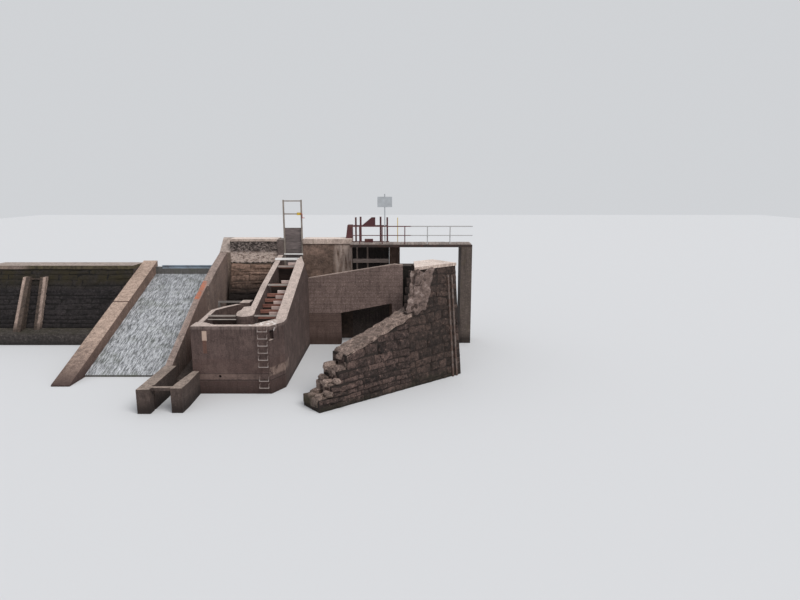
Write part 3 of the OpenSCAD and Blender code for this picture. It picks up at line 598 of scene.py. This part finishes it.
def mossy_front(nt, vec, xyz, up, col, mottle):
    """Moss and black algae over the cap's front, bare only at its far left."""
    moss = times(nt, span(nt, xyz["X"], -11.7, -11.1), span(nt, up, 0.5, 0.3))
    green = mix(nt, span(nt, mottle, 0.4, 0.6), (0.018, 0.015, 0.011), (0.09, 0.075, 0.035))
    return mix(nt, times(nt, moss, 0.85), col, green)


dam_cap_concrete = concrete(
    "dam_cap_concrete", (0.25, 0.19, 0.16), (0.38, 0.315, 0.28), (0.06, 0.05, 0.035),
    (0.17, 0.13, 0.09), -1.0, 0.6, extra=mossy_front)
dress(dam_cap_concrete, 0.025, "dam_cap")
pale_cap = concrete(
    "pale_cap", (0.58, 0.46, 0.4), (0.72, 0.6, 0.54), (0.1, 0.07, 0.06),
    (0.3, 0.22, 0.19), -1.0, 0.45, stain_amount=0.3)
dress(pale_cap, 0.04, "head_caps", "stone_cap")


def mossy_inside(nt, vec, xyz, up, col, mottle):
    """The strips' inner sides are grown over; only their outer edges are bare."""
    edge = plus(nt, xyz["X"], times(nt, mottle, 0.12))
    moss = times(nt, span(nt, edge, -11.2, -11.14), span(nt, edge, -10.17, -10.23))
    brown = mix(nt, span(nt, mottle, 0.4, 0.6), (0.02, 0.016, 0.014), (0.085, 0.06, 0.047))
    return mix(nt, times(nt, moss, 0.92), col, brown)


rib_concrete = concrete(
    "rib_concrete", (0.36, 0.27, 0.23), (0.36, 0.27, 0.23), (0.06, 0.045, 0.036),
    (0.12, 0.09, 0.07), 0.9, 0.6, extra=mossy_inside)
dress(rib_concrete, 0.05, "dam_ribs")

# The bay's back wall: brown rubble that goes dark towards its foot, a lift of concrete on it with a
# leached white band over the crack, and a black, lichened top; then the smooth grey pilaster.
bay_wall, nt, vec, xyz, up = start("bay_wall")
broad = grain(nt, vec, 1.5, 7.0)
mottle = grain(nt, vec, 9.0, 9.0, (0.7, 1.0, 1.5), rough=0.85)
wave = plus(nt, xyz["Z"], times(nt, mottle, 0.5))
col = mix(nt, span(nt, wave, 3.0, 4.5), (0.02, 0.015, 0.012), (0.11, 0.075, 0.058))
pale = mix(nt, span(nt, mottle, 0.42, 0.53), (0.15, 0.1, 0.08), (0.66, 0.54, 0.48))
col = mix(nt, span(nt, wave, 4.5, 4.6), col, pale)
lichen = mix(nt, span(nt, mottle, 0.48, 0.6), (0.03, 0.024, 0.022), (0.42, 0.34, 0.31))
col = mix(nt, span(nt, wave, 5.06, 5.2), col, lichen)
crack = times(nt, span(nt, wave, 4.48, 4.51), span(nt, wave, 4.58, 4.55))
col = mix(nt, crack, col, (0.015, 0.012, 0.01))
finish_material(nt, col, plus(nt, mottle, broad), 1.0, 0.92, 0.08)
dress(bay_wall, 0, "bay_back_wall")
pilaster = concrete(
    "pilaster", (0.16, 0.125, 0.115), (0.26, 0.22, 0.195), (0.05, 0.04, 0.034),
    (0.1, 0.07, 0.05), 0.3, 0.5)
dress(pilaster, 0.01, "head_pilaster")
bay_rubble, nt, vec, xyz, up = start("bay_rubble")
mottle = grain(nt, vec, 7.0, 9.0, rough=0.8)
col = mix(nt, stone_tone(nt), (0.25, 0.162, 0.122), (0.41, 0.27, 0.21))
col = mix(nt, span(nt, mottle, 0.42, 0.6, 0.0, 0.85), col, (0.07, 0.043, 0.033))
col = mix(nt, span(nt, xyz["Z"], 4.15, 2.7), col, (0.012, 0.008, 0.007))
finish_material(nt, col, mottle, 0.9, 0.92, 0.05)
lo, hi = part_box("bay_back_wall")
bay_foot_y, batter = 2.85, Vector((0, 1.85, 4.28))
bay_up = batter.normalized()
bay_out = Vector((0, -bay_up.z, bay_up.y))
bay_face = (Vector((lo.x, bay_foot_y, 0)), rightward, bay_up, bay_out)
stones = ([], [], [])
lay(stones, bay_face, (0.02, hi.x - lo.x - 0.02), level(1.25), level(batter.length - 0.02),
    (0.12, 0.34), (0.3, 1.3), 0.014, 0.1, 0.045, random.Random(31), 0.16)
new_piece("bay_rubble", stones, bay_rubble, "works")

# The gate bay's stonework: dark, damp rubble walls under their caps, with a pale leached patch. The
# channel wall beyond is almost black, and the bridge's far pier is plain concrete.
gate_wall, nt, vec, xyz, up = start("gate_wall")
broad = grain(nt, vec, 1.2, 7.0)
mottle = grain(nt, vec, 5.0, 9.0, rough=0.8)
run = grain(nt, vec, 4.0, 8.0, (1.4, 1.4, 0.25))
col = mix(nt, span(nt, broad, 0.35, 0.65), (0.17, 0.115, 0.09), (0.32, 0.215, 0.17))
col = mix(nt, span(nt, mottle, 0.4, 0.6, 0.0, 0.7), col, (0.035, 0.026, 0.023))
leached = inside(nt, xyz, 0.25, x=(6.2, 7.03), y=(4.6, 4.75), z=(3.7, 5.2))
leached = times(nt, leached, span(nt, run, 0.36, 0.56))
col = mix(nt, times(nt, leached, 0.85), col, (0.48, 0.38, 0.33))
col = mix(nt, span(nt, xyz["Z"], 3.2, 1.8, 0.0, 0.7), col, (0.02, 0.016, 0.014))
finish_material(nt, col, plus(nt, mottle, broad), 1.0, 0.92, 0.08)
dress(gate_wall, 0.02, "gate_wall")
abutment_concrete = concrete(
    "abutment_concrete", (0.12, 0.094, 0.082), (0.25, 0.2, 0.175), (0.04, 0.03, 0.026),
    (0.1, 0.08, 0.055), 0.4, 0.6)
dress(abutment_concrete, 0.02, "bridge_abutment")
dark_wall = concrete(
    "dark_wall", (0.045, 0.039, 0.034), (0.16, 0.13, 0.112), (0.01, 0.009, 0.008),
    (0.03, 0.035, 0.018), 0.6, 0.6)
dress(dark_wall, 0.02, "channel_wall")


# The deflector wall on its piers: board-marked concrete with two joint lines, damp streaks and a
# darker, reddish foot.
def lift_joints(nt, vec, xyz, up, col, mottle):
    """Two level joints between the lifts of concrete, and the damp below them."""
    wave = plus(nt, xyz["Z"], times(nt, mottle, 0.05))
    for z in (1.28, 1.72):
        line = times(nt, span(nt, wave, z, z + 0.02), span(nt, wave, z + 0.06, z + 0.03))
        col = mix(nt, times(nt, line, 0.7), col, (0.02, 0.015, 0.013))
    return mix(nt, span(nt, wave, 1.8, 1.7, 0.0, 0.65), col, (0.078, 0.047, 0.038))


deflector = concrete(
    "deflector", (0.235, 0.168, 0.15), (0.42, 0.33, 0.29), (0.045, 0.032, 0.029),
    (0.12, 0.085, 0.075), 0.45, 0.45, 0.2, 0.35, extra=lift_joints)
dress(deflector, 0.015, "deflector_wall", "deflector_piers")


# The old stone training wall: large split granite blocks in rough courses, dry at the top, green at
# its foot, its end tumbled down in steps, its raised part faced with smaller stones and mortar.
def plain(name, colour, rough=0.9):
    """A rough finish of one colour."""
    mat, nt, vec, xyz, up = start(name)
    fine = grain(nt, vec, 20.0, 8.0)
    finish_material(nt, mix(nt, fine, colour, shade(colour, 0.5)), fine, 0.8, rough, 0.03)
    return mat


wall_stone = stone_material(
    "wall_stone", (0.145, 0.096, 0.083), (0.036, 0.025, 0.022), (0.008, 0.006, 0.006),
    (0.032, 0.027, 0.017), 0.3, 0.05, 0.25)
dress(plain("wall_mortar", (0.03, 0.022, 0.019)), 0, "stone_low", "stone_high")
foot = Vector((7.075, -6.3, 0))
heading = math.radians(39.8)
tilt = math.radians(5.5)
along = Vector((math.cos(heading), math.sin(heading), 0))
into = Vector((-math.sin(heading), math.cos(heading), 0))
up_wall = Vector((into.x * math.sin(tilt), into.y * math.sin(tilt), math.cos(tilt)))
out_wall = along.cross(up_wall).normalized()
wall_face = (foot, along, up_wall, out_wall)
low_end = 4.05
step_starts = (-0.6, 0.0, 0.35, 0.8)
step_heights = (0.0, 0.45, 0.9, 1.4)


def slope(s):
    """The fall of the low part's top, s metres along the wall."""
    return 1.95 + 0.335 * (s - 0.8)


def low_top(s):
    """The height of the low part: three steps at its tumbled end, then its ragged slope."""
    for end, z in zip(step_starts[1:], step_heights[1:]):
        if s < end:
            return z + 0.05 * noise.noise(Vector((s * 3, 4, 1)))
    return slope(s) + 0.09 * noise.noise(Vector((s * 2.6, 4, 1)))


wall_rng = random.Random(23)
stones = ([], [], [])
for step_start, low_z, high_z in zip(step_starts, step_heights, step_heights[1:]):
    lay(stones, wall_face, (step_start, low_end), level(low_z), level(high_z), (0.19, 0.26),
        (0.25, 1.1), 0.02, 0.2, 0.06, wall_rng, 0.1)
lay(stones, wall_face, (step_starts[3], low_end), level(step_heights[3]), low_top, (0.16, 0.42),
    (0.3, 1.2), 0.02, 0.2, 0.06, wall_rng, 0.18)
new_piece("low_wall_face", stones, wall_stone, "works")


# Its top is a ragged slope of flat stones and worn mortar, its low end a stair of tumbled blocks,
# and its back is coursed like its face.
def on_wall(s, d, z):
    """The place s metres along the wall, d behind its foot and z up."""
    return foot + along * s + into * d + Vector((0, 0, z))


def boulder(out, centre, size, rng):
    """A worn block of that half height, longer and turned by chance."""
    corners, faces, tones = out
    rings, sides = 8, 12
    first = len(corners)
    seed, tone = Vector((rng.random() * 50, 3, 1)), rng.random()
    turn, long = rng.uniform(0, 3), rng.uniform(1.0, 1.7)
    for i in range(rings + 1):
        for j in range(sides):
            a, c = math.pi * i / rings, 2 * math.pi * j / sides
            ball = Vector((math.sin(a) * math.cos(c), math.sin(a) * math.sin(c), math.cos(a)))
            q = Vector([math.copysign(abs(t) ** 0.6, t) for t in ball])
            q = q * (1 + 0.35 * noise.noise(ball * 1.3 + seed))
            q = Vector((q.x * long * math.cos(turn) - q.y * math.sin(turn),
                        q.x * long * math.sin(turn) + q.y * math.cos(turn), q.z * 0.8))
            corners.append(centre + q * size * 0.8)
            tones.append(tone)
    for i in range(rings):
        for j in range(sides):
            k, after = first + i * sides, (j + 1) % sides
            faces.append((k + j, k + sides + j, k + sides + after, k + after))


low_depth = 1.16
tops = ([], [], [])
for s0, s1, z in ((-0.62, 0.04, 0.45), (-0.02, 0.4, 0.9), (0.33, 0.84, 1.4)):
    split = wall_rng.uniform(0.5, 0.75)
    for d0, d1 in ((0.07 + z * 0.09, split), (split, low_depth)):
        ends = ((s0, d0 + 0.015), (s1, d0 + 0.015), (s1, d1 - 0.015), (s0, d1 - 0.015))
        corners = [on_wall(s + wall_rng.uniform(-0.03, 0.03), d, z + wall_rng.uniform(0.0, 0.07))
                   for s, d in ends]
        add_stone(tops, corners, upright, 0.3, 0.03, wall_rng)
for s, d, z, size in ((-0.42, 0.32, 0.5, 0.2), (-0.2, 0.85, 0.52, 0.25), (0.1, 0.45, 0.95, 0.19),
                      (0.18, 0.95, 0.98, 0.22), (0.55, 0.35, 1.45, 0.2), (0.5, 0.9, 1.48, 0.24),
                      (0.8, 0.6, 1.86, 0.2), (-0.08, 0.2, 0.6, 0.18), (0.3, 0.15, 1.05, 0.17),
                      (-0.5, 0.7, 0.5, 0.16)):
    boulder(tops, on_wall(s, d, z), size, wall_rng)
nu, nv = 46, 14
top_start, top_front = 0.76, 0.17


def ragged_top(i, j):
    """The low part's top: each worn stone a little higher or lower than the next."""
    d = top_front + (low_depth - top_front) * j / nv
    s = top_start + (4.06 + 0.83 * d - top_start) * i / nu
    cell = noise.noise(Vector((math.floor(s * 2.3), math.floor(d * 2.1 + s * 0.6), 5.5)))
    lump = 0.05 * cell + 0.06 * noise.noise(Vector((s * 5, d * 5, 1)))
    if j in (0, nv) or i == 0:
        z = low_top(s) - 0.05
    else:
        z = max(low_top(s), slope(s) + 0.02) + max(0.012, 0.05 + lump)
    return on_wall(s, d, z), 0.55 + 0.6 * cell


sheet(tops, nu, nv, ragged_top)
top_stone = stone_material(
    "top_stone", (0.36, 0.27, 0.23), (0.2, 0.145, 0.125), (0.045, 0.033, 0.028),
    (0.06, 0.05, 0.03), 0.7, 0.3, 0.3)
new_piece("low_wall_tops", tops, top_stone, "works")
backs = ([], [], [])
back_d, back_length = 1.15, 4.9
lay(backs, (foot + into * back_d, along, upright, into), (0.0, back_length), level(0.0), low_top,
    (0.3, 0.45), (0.5, 1.1), 0.04, 0.15, 0.02, wall_rng)
for s, z in ((-0.6, 0.44), (0.0, 0.88), (0.35, 1.38), (0.8, 1.9)):
    step_face = (foot + along * s + into * 1.14, into * -1, upright, along * -1)
    lay(backs, step_face, (0.0, 1.06 - 0.08 * z), level(0.0), level(z), (0.25, 0.45), (0.3, 0.6),
        0.04, 0.15, 0.03, wall_rng)
new_piece("low_wall_back", backs, wall_stone, "works")


# The raised part carries smaller, mortared stones under its cap, a leaning left side in line with
# the gate channel, and on its left a rough coat of pale render. The channel wall beside it is
# coursed in the same stone.
def high_left(v):
    """The face's left edge, v metres up: above its knee it leans back."""
    return high_start + max(0.0, v - 3.42) / 3.6


high_start, high_end, high_top = 4.0, 7.02, 4.95
high_stone = stone_material(
    "high_stone", (0.1, 0.066, 0.055), (0.036, 0.025, 0.021), (0.013, 0.01, 0.009),
    (0.034, 0.032, 0.019), 0.4, 0.1, 0.35)
stones = ([], [], [])
lay(stones, wall_face, (high_start, high_end), level(0.0), level(4.97 / math.cos(tilt)),
    (0.18, 0.42), (0.25, 1.0), 0.022, 0.2, 0.045, wall_rng, 0.16, high_left)
new_piece("high_wall_face", stones, high_stone, "works")
cut_x = foot.x + along.x * high_start
cut_y = foot.y + along.y * high_start


def crumbled(nt, vec, xyz, up, col, mottle):
    """The render has crumbled: deep shadows between its lumps, and pale crumbs of lime."""
    lump = grain(nt, vec, 3.5, 8.0, (0.8, 0.8, 1.3), rough=0.75)
    col = mix(nt, times(nt, span(nt, lump, 0.48, 0.38), 0.85), col, (0.035, 0.025, 0.022))
    return mix(nt, times(nt, span(nt, lump, 0.54, 0.64), 0.6), col, (0.4, 0.32, 0.29))


coat_render = concrete(
    "coat_render", (0.17, 0.122, 0.107), (0.42, 0.33, 0.29), (0.06, 0.042, 0.036),
    (0.12, 0.085, 0.072), -1.0, 0.5, extra=crumbled)
nu, nv = 26, 46
side_height, side_front, side_depth = 4.93, 0.42, 2.35
knee_z, lean_back = 3.4, 0.134


def leaning_side(i, j):
    """The left side, faced with blocks of render and leaning back above its knee."""
    z = side_height * (j / nv)
    y = cut_y + side_front + side_depth * (i / nu)
    row = math.floor(z * 2.9)
    block = noise.noise(Vector((math.floor(y * 1.6 + row * 0.37), row, 3)))
    out_by = -0.02 if min(i, nu - i, j, nv - j) == 0 else 0.03
    out_by = out_by + 0.03 * block + 0.035 * noise.noise(Vector((y * 3, z * 3, 2)))
    x = cut_x + max(0.0, z - knee_z) * lean_back - out_by
    return Vector((x, y, z)), 0.5 + 0.5 * block


side = ([], [], [])
sheet(side, nu, nv, leaning_side, flip=True)
new_piece("high_wall_side", side, coat_render, "works", smooth=True)
stones = ([], [], [])
lay(stones, (foot + along * 7.03, into, upright, along), (0.48, 2.0), level(0.0), level(high_top),
    (0.28, 0.42), (0.4, 0.8), 0.025, 0.15, 0.03, wall_rng)
new_piece("high_wall_end", stones, high_stone, "works")
lo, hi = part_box("channel_wall")
stones = ([], [], [])
for y, run, top_z in ((-0.24, 4.92, 3.98), (4.7, 1.1, hi.z)):
    lay(stones, (Vector((hi.x, y, 0)), upstream, upright, rightward), (0, run), level(0.0),
        level(top_z), (0.24, 0.42), (0.4, 1.2), 0.025, 0.15, 0.03, wall_rng, 0.05)
lay(stones, (foot + into * 2.0, along, upright, into), (5.7, high_end), level(4.02),
    level(high_top), (0.24, 0.42), (0.4, 1.2), 0.025, 0.15, 0.02, wall_rng, 0.02)
new_piece("channel_wall_face", stones, high_stone, "works")
nu, nv = 30, 34
coat_low, coat_high = 3.15, 4.96
coat_left, coat_right = 4.02, 5.7


def ragged_coat(i, j):
    """The coat on the face, with torn edges, wider towards its top."""
    u, v = i / nu, j / nv
    left = coat_left + 0.42 * max(0.0, (v - 0.1)) + 0.06 * noise.noise(Vector((3.0, v * 5, 0)))
    right = coat_right - 0.6 * (1 - v) + 0.16 * noise.noise(Vector((9.0, v * 4, 0)))
    s = left + (right - left) * u
    z = coat_low + 0.3 * noise.noise(Vector((u * 3, 4, 0))) + (coat_high - coat_low) * v
    out_by = -0.02 if min(i, nu - i, j) == 0 else 0.08
    out_by = out_by + 0.05 * noise.noise(Vector((s * 4, z * 4, 2)))
    out_by += 0.035 * noise.noise(Vector((s * 9, z * 9, 6)))
    return foot + along * s + up_wall * z / math.cos(tilt) + out_wall * out_by, 0.5


coat = ([], [], [])
sheet(coat, nu, nv, ragged_coat)
new_piece("render_coat", coat, coat_render, "works", smooth=True)

# The divider's foot: concrete run out by hand from the wall's end down onto its rounded nose, a
# little worn, its sides upright below.
lo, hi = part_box("divider_wall")
nose_r, nose_top = 0.4, 2.92
nose = Vector((hi.x - nose_r, lo.y + nose_r, 0))
toe_start, toe_length, step_height = -0.15, 0.46, 0.178
wall_starts = 0.31
toe_rows = ((toe_start, -0.35, 0.35), (0.0, -0.39, 0.397), (0.14, -0.37, 0.397),
            (wall_starts, -0.258, 0.397), (0.312, -0.256, 0.125), (0.45, -0.243, 0.125),
            (0.6, -0.2, 0.125))
toe_cells = len(toe_rows) - 1


def toe_top(i, j):
    """Up from the nose to the divider's end, then along the divider, falling off to its left."""
    y, x0, x1 = toe_rows[j]
    x = x0 + (x1 - x0) * i / toe_cells
    rise = (y - toe_start) / toe_length * step_height if y < wall_starts else 0.092 + 0.279 * y
    worn = 0.003 if y == wall_starts else 0.012 * noise.noise(Vector((x * 6, y * 6, 4))) - 0.006
    fall = 0.1 * max(0.0, 0.12 - x) if y > 0.2 else 0.0
    return nose + Vector((x, y, nose_top + max(0.004, rise + worn - fall))), 0.5


toe = ([], [], [])
first = sheet(toe, toe_cells, toe_cells, toe_top)
skirt(toe, first, toe_cells, toe_cells,
      lambda corner: Vector((corner.x, corner.y, nose_top - 1.2)))
new_piece("divider_toe", toe, ladder_concrete, "works")


# The two old rails that stand against the wall, and the other bare steel: beams rusted brown, and
# step irons worn bright on top, with brown legs.
def recolour(mat, change):
    """Runs the colour of a finished material through change(nt, vec, xyz, colour)."""
    nt = mat.node_tree
    coat = nt.nodes["Principled BSDF"].inputs["Base Color"]
    vec, xyz = position(nt)
    put(nt, coat, change(nt, vec, xyz, coat.links[0].from_socket))


def brown_legs(nt, vec, xyz, colour):
    """Each iron's legs, just over its rung, the rungs being evenly spaced."""
    first_rung_z, rung_pitch = 0.25, 0.3
    over_rung = maths(nt, "MODULO", maths(nt, "SUBTRACT", xyz["Z"], first_rung_z), rung_pitch)
    return mix(nt, span(nt, over_rung, 0.07, 0.12), colour, (0.16, 0.122, 0.11))


dress(metal("rusty_steel", (0.15, 0.122, 0.11), (0.08, 0.05, 0.04), 0.3, 0.85), 0.004, "wall_rails")
rung_steel = metal("rung_steel", (0.36, 0.31, 0.29), (0.2, 0.13, 0.1), 0.1, 0.7)
recolour(rung_steel, brown_legs)
dress(rung_steel, 0, "step_irons")
dress(metal("beam_steel", (0.04, 0.03, 0.028), (0.07, 0.035, 0.028), 0.2, 0.8), 0.004,
      "bridge_beams")


# The weirs of the ladder: stacked boards with a notch, pale where they dry and reddish where
# they stay wet, and near black below: wet, with painted shade of the pools. Each board is a plank
# of its own with a narrow gap under it.
def timber(name, pale, dark, along_axis="X", damp=0.3):
    """Weathered boards with grain along one axis."""
    mat, nt, vec, xyz, up = start(name)
    fast = {"X": (0.5, 9.0, 9.0), "Y": (9.0, 0.5, 9.0), "Z": (9.0, 9.0, 0.5)}[along_axis]
    fibre = grain(nt, vec, 5.0, 7.0, fast)
    broad = grain(nt, vec, 2.5, 4.0)
    col = mix(nt, span(nt, fibre, 0.35, 0.65), pale, dark)
    col = mix(nt, times(nt, stone_tone(nt), 0.5), col, shade(dark, 0.55))
    col = mix(nt, times(nt, span(nt, broad, 0.5, 0.7), damp), col, shade(dark, 0.4))
    finish_material(nt, col, fibre, 0.6, 0.85, 0.01)
    return mat


def add_box(out, lo, hi, rng, skew=0.004):
    """A board: a box between two corners, its edges a little out of true."""
    corners, faces, tones = out
    base = len(corners)
    tone = rng.random()
    for z in (lo[2], hi[2]):
        for x, y in ((lo[0], lo[1]), (hi[0], lo[1]), (hi[0], hi[1]), (lo[0], hi[1])):
            off = Vector([rng.uniform(-skew, skew) for _ in range(3)])
            corners.append(Vector((x, y, z)) + off)
            tones.append(tone)
    for f in ((0, 3, 2, 1), (4, 5, 6, 7), (0, 1, 5, 4), (1, 2, 6, 5), (2, 3, 7, 6), (3, 0, 4, 7)):
        faces.append(tuple(base + k for k in f))


def outer_wall_top(y):
    """The height of the outer wall's top, which rises upstream."""
    return 2.88 + 0.32 * (y + 3.1)


def run_floor(y):
    """The height just over the upper run's floor, which climbs 1.85 m over its 7.2 m."""
    return 1.5 + 1.85 * (y + 2.6) / 7.2 + 0.04


weir_rng = random.Random(5)
pale_weir = timber("pale_weir", (0.85, 0.72, 0.68), (0.5, 0.34, 0.3), "X", 0.1)
red_weir = timber("red_weir", (0.42, 0.21, 0.16), (0.16, 0.06, 0.048), "X", 0.3)
wet_weir_painted_shade = timber("wet_weir_painted_shade", (0.05, 0.03, 0.025), (0.02, 0.013, 0.011), "X", 0.4)
run_lo, run_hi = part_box("upper_floor")
notch_x = run_lo.x + (run_hi.x - run_lo.x) * 0.48
left_x, right_x = run_lo.x + 0.003, run_hi.x - 0.003
board_h, gap = 0.17, 0.004
weir_drop, pale_depth, red_depth = 0.4, 0.15, 0.31
pale, red, wet = ([], [], []), ([], [], []), ([], [], [])
weirs_left = (0, 1, 2, 3, 4, 6, 10)
first_weir_y, weir_step = -1.8, 0.5
for i in weirs_left:
    y = first_weir_y + weir_step * i
    top = outer_wall_top(y) - weir_drop
    add_box(pale, (notch_x, y - 0.035, top - pale_depth), (right_x, y + 0.035, top), weir_rng)
    add_box(red, (left_x, y - 0.033, top - red_depth),
            (right_x, y + 0.033, top - pale_depth - gap), weir_rng)
    # The boards below are near black: wet wood, with painted shade in the pools.
    z = top - red_depth - 0.005
    while z > run_floor(y):
        h = min(board_h, z - run_floor(y) + 0.03)
        add_box(wet, (left_x, y - 0.033, z - h), (right_x, y + 0.033, z - gap), weir_rng)
        z -= board_h
for tag, boards, mat in (("pale", pale, pale_weir), ("wet", wet, wet_weir_painted_shade), ("red", red, red_weir)):
    o = new_piece("weir_boards_" + tag, boards, mat, "works")
    rounded(o, 0.006)
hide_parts("upper_weirs")
# The lower runs' weirs take the same near black: painted shade in the pools over wet wood.
dress(wet_weir_painted_shade, 0.006, "lower_weirs")


# Bars and planks across the pools, and the frame at the mouth of the third run: galvanised steel
# and old timber, the bar nearest the head gate bleached nearly white.
def white_end(nt, vec, xyz, colour):
    """The bars within a metre of the head gate."""
    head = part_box("struts")[1].y - 1.03
    return mix(nt, span(nt, xyz["Y"], head - 0.05, head), colour, (0.85, 0.84, 0.83))


bar_steel = metal("bar_steel", (0.42, 0.37, 0.34), (0.3, 0.22, 0.17), 0.05, 0.7)
recolour(bar_steel, white_end)
dress(bar_steel, 0.004, "struts")
grey_board = timber("grey_board", (0.26, 0.235, 0.22), (0.12, 0.105, 0.1), "X", 0.4)
dress(grey_board, 0.006, "bay_frame")


# The head gate: level boards, silver-grey with age, sliding behind its two posts and drawn up by a
# small hand winch.
def strips(first, last, least, width):
    """Where each board starts, and its width, the last one cut to fit."""
    at = first
    while at < last - least:
        w = min(width(), last - at)
        yield at, w
        at += w


lo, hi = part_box("head_gate")
gate_rng = random.Random(8)
head_board = timber("head_board", (0.25, 0.205, 0.2), (0.09, 0.075, 0.073), "X", 0.25)
boards = ([], [], [])
for z, h in strips(lo.z, hi.z, 0.05, lambda: gate_rng.uniform(0.17, 0.23)):
    add_box(boards, (lo.x + 0.01, lo.y - 0.008, z + 0.004),
            (hi.x - 0.01, lo.y + 0.03, z + h - 0.004), gate_rng, skew=0.003)
o = new_piece("head_gate_boards", boards, head_board, "head_gate_leaf")
rounded(o, 0.005)
head_board_back = timber("head_board_back", (0.12, 0.11, 0.11), (0.05, 0.045, 0.045), "X", 0.25)
dress(head_board_back, 0.006, "head_gate")
post_steel = metal("post_steel", (0.3, 0.26, 0.23), (0.15, 0.1, 0.08), 0.1, 0.7)
dress(post_steel, 0.004, "head_posts")
dress(metal("winch_yellow", (0.62, 0.42, 0.06), (0.3, 0.16, 0.05), 0.1, 0.5), 0.01, "winch_box")
dress(metal("crank_red", (0.5, 0.04, 0.03), (0.2, 0.06, 0.04), 0.05, 0.45), 0.003, "winch_crank")

# The sluice gate: upright planks, near black with damp and with painted shade, held by two lighter
# ribs and a heavy weathered wale, and lifted by two stems.
lo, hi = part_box("gate_leaf")
front_y = 4.94
# The planks are near black: damp wood, with painted shade.
plank_painted_shade = timber("plank_painted_shade", (0.04, 0.03, 0.027), (0.014, 0.012, 0.011), "Z", 0.5)
planks = ([], [], [])
for x, w in strips(lo.x, hi.x, 0.04, lambda: gate_rng.uniform(0.16, 0.22)):
    add_box(planks, (x + 0.003, front_y - 0.012, lo.z + 0.003),
            (x + w - 0.003, front_y + 0.03, hi.z - gate_rng.uniform(0.002, 0.02)), gate_rng,
            skew=0.002)
o = new_piece("sluice_planks", planks, plank_painted_shade, "sluice_leaf")
rounded(o, 0.005)


def leaf_marks(nt, vec, xyz, colour):
    """Seams between the leaf's planks, 0.2 m apart, and the paler grain of the wale."""
    seam = maths(nt, "PINGPONG", xyz["X"], 0.1)
    dark = mix(nt, span(nt, seam, 0.006, 0.0), colour, (0.006, 0.005, 0.005))
    fibre = span(nt, grain(nt, vec, 5.0, 7.0, (0.5, 9.0, 9.0)), 0.35, 0.65)
    wale = mix(nt, fibre, (0.48, 0.39, 0.35), (0.22, 0.17, 0.15))
    return mix(nt, inside(nt, xyz, 0.004, y=(4.5, front_y + 0.004), z=(4.2, 4.55)), dark, wale)


# The leaf behind them is as dark: painted shade over damp wood.
leaf_timber_painted_shade = timber("leaf_timber_painted_shade", (0.06, 0.046, 0.041), (0.02, 0.016, 0.014), "Z", 0.5)
recolour(leaf_timber_painted_shade, leaf_marks)
dress(leaf_timber_painted_shade, 0.008, "gate_leaf")
rib_timber = timber("rib_timber", (0.4, 0.32, 0.28), (0.2, 0.15, 0.13), "Z", 0.2)
rib_lefts, rib_width = (7.25, 7.83), 0.09
ribs = ([], [], [])
for x in rib_lefts:
    add_box(ribs, (x, front_y - 0.05, lo.z + 0.2), (x + rib_width, front_y + 0.014, hi.z - 0.003),
            gate_rng)
o = new_piece("sluice_ribs", ribs, rib_timber, "sluice_leaf")
rounded(o, 0.005)
maroon = metal("maroon_paint", (0.1, 0.035, 0.04), (0.14, 0.06, 0.04), 0.15, 0.65)
dress(maroon, 0.004, "gate_stems", "hoist_frame")

# The jamb beside it: upright planks of mixed widths, brown where they dry and dark and reddish
# where they stay damp.
lo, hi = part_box("gate_jamb")
jamb_timber = timber("jamb_timber", (0.17, 0.115, 0.09), (0.07, 0.04, 0.032), "Z", 0.5)
dress(jamb_timber, 0.01, "gate_jamb")
planks = ([], [], [])
for x, w in strips(lo.x, hi.x, 0.04, lambda: gate_rng.uniform(0.13, 0.2)):
    add_box(planks, (x + 0.004, lo.y - 0.03, 0.02), (x + w - 0.004, lo.y + 0.01, hi.z - 0.005),
            gate_rng)
o = new_piece("jamb_planks", planks, jamb_timber, "works")
rounded(o, 0.006)

# The footbridge: planks laid across two steel beams, grey and split, with a painted steel railing,
# maroon by the hoist and bare grey beyond it.
lo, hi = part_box("bridge_deck")
deck_board = timber("deck_board", (0.4, 0.34, 0.31), (0.19, 0.15, 0.135), "Y", 0.3)
planks = ([], [], [])
plank_width = 0.19
for x, w in strips(lo.x, hi.x, 0.04, lambda: plank_width):
    add_box(planks, (x + 0.004, lo.y + gate_rng.uniform(0, 0.02), lo.z),
            (x + w - 0.004, hi.y, hi.z - gate_rng.uniform(0, 0.006)), gate_rng)
o = new_piece("deck_planks", planks, deck_board, "works")
rounded(o, 0.005)
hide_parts("bridge_deck")
rail_paint, nt, vec, xyz, up = start("rail_paint")
fine = grain(nt, vec, 25.0, 8.0)
col = mix(nt, span(nt, xyz["X"], 10.2, 10.3), (0.11, 0.04, 0.042), (0.4, 0.4, 0.4))
col = mix(nt, span(nt, fine, 0.55, 0.7), col, (0.13, 0.07, 0.05))
finish_material(nt, col, fine, 0.2, 0.6, 0.005)
dress(rail_paint, 0.004, "bridge_rails")

# The bare sign plate on its post over the footbridge, pale grey sheet steel, and the yellow marker
# post beside the hoist.
dress(metal("plate_grey", (0.5, 0.53, 0.56), (0.3, 0.28, 0.26), 0.0, 0.5), 0.002, "sign_post")
dress(metal("marker_yellow", (0.6, 0.42, 0.08), (0.3, 0.18, 0.08), 0.1, 0.5), 0.003, "marker_post")
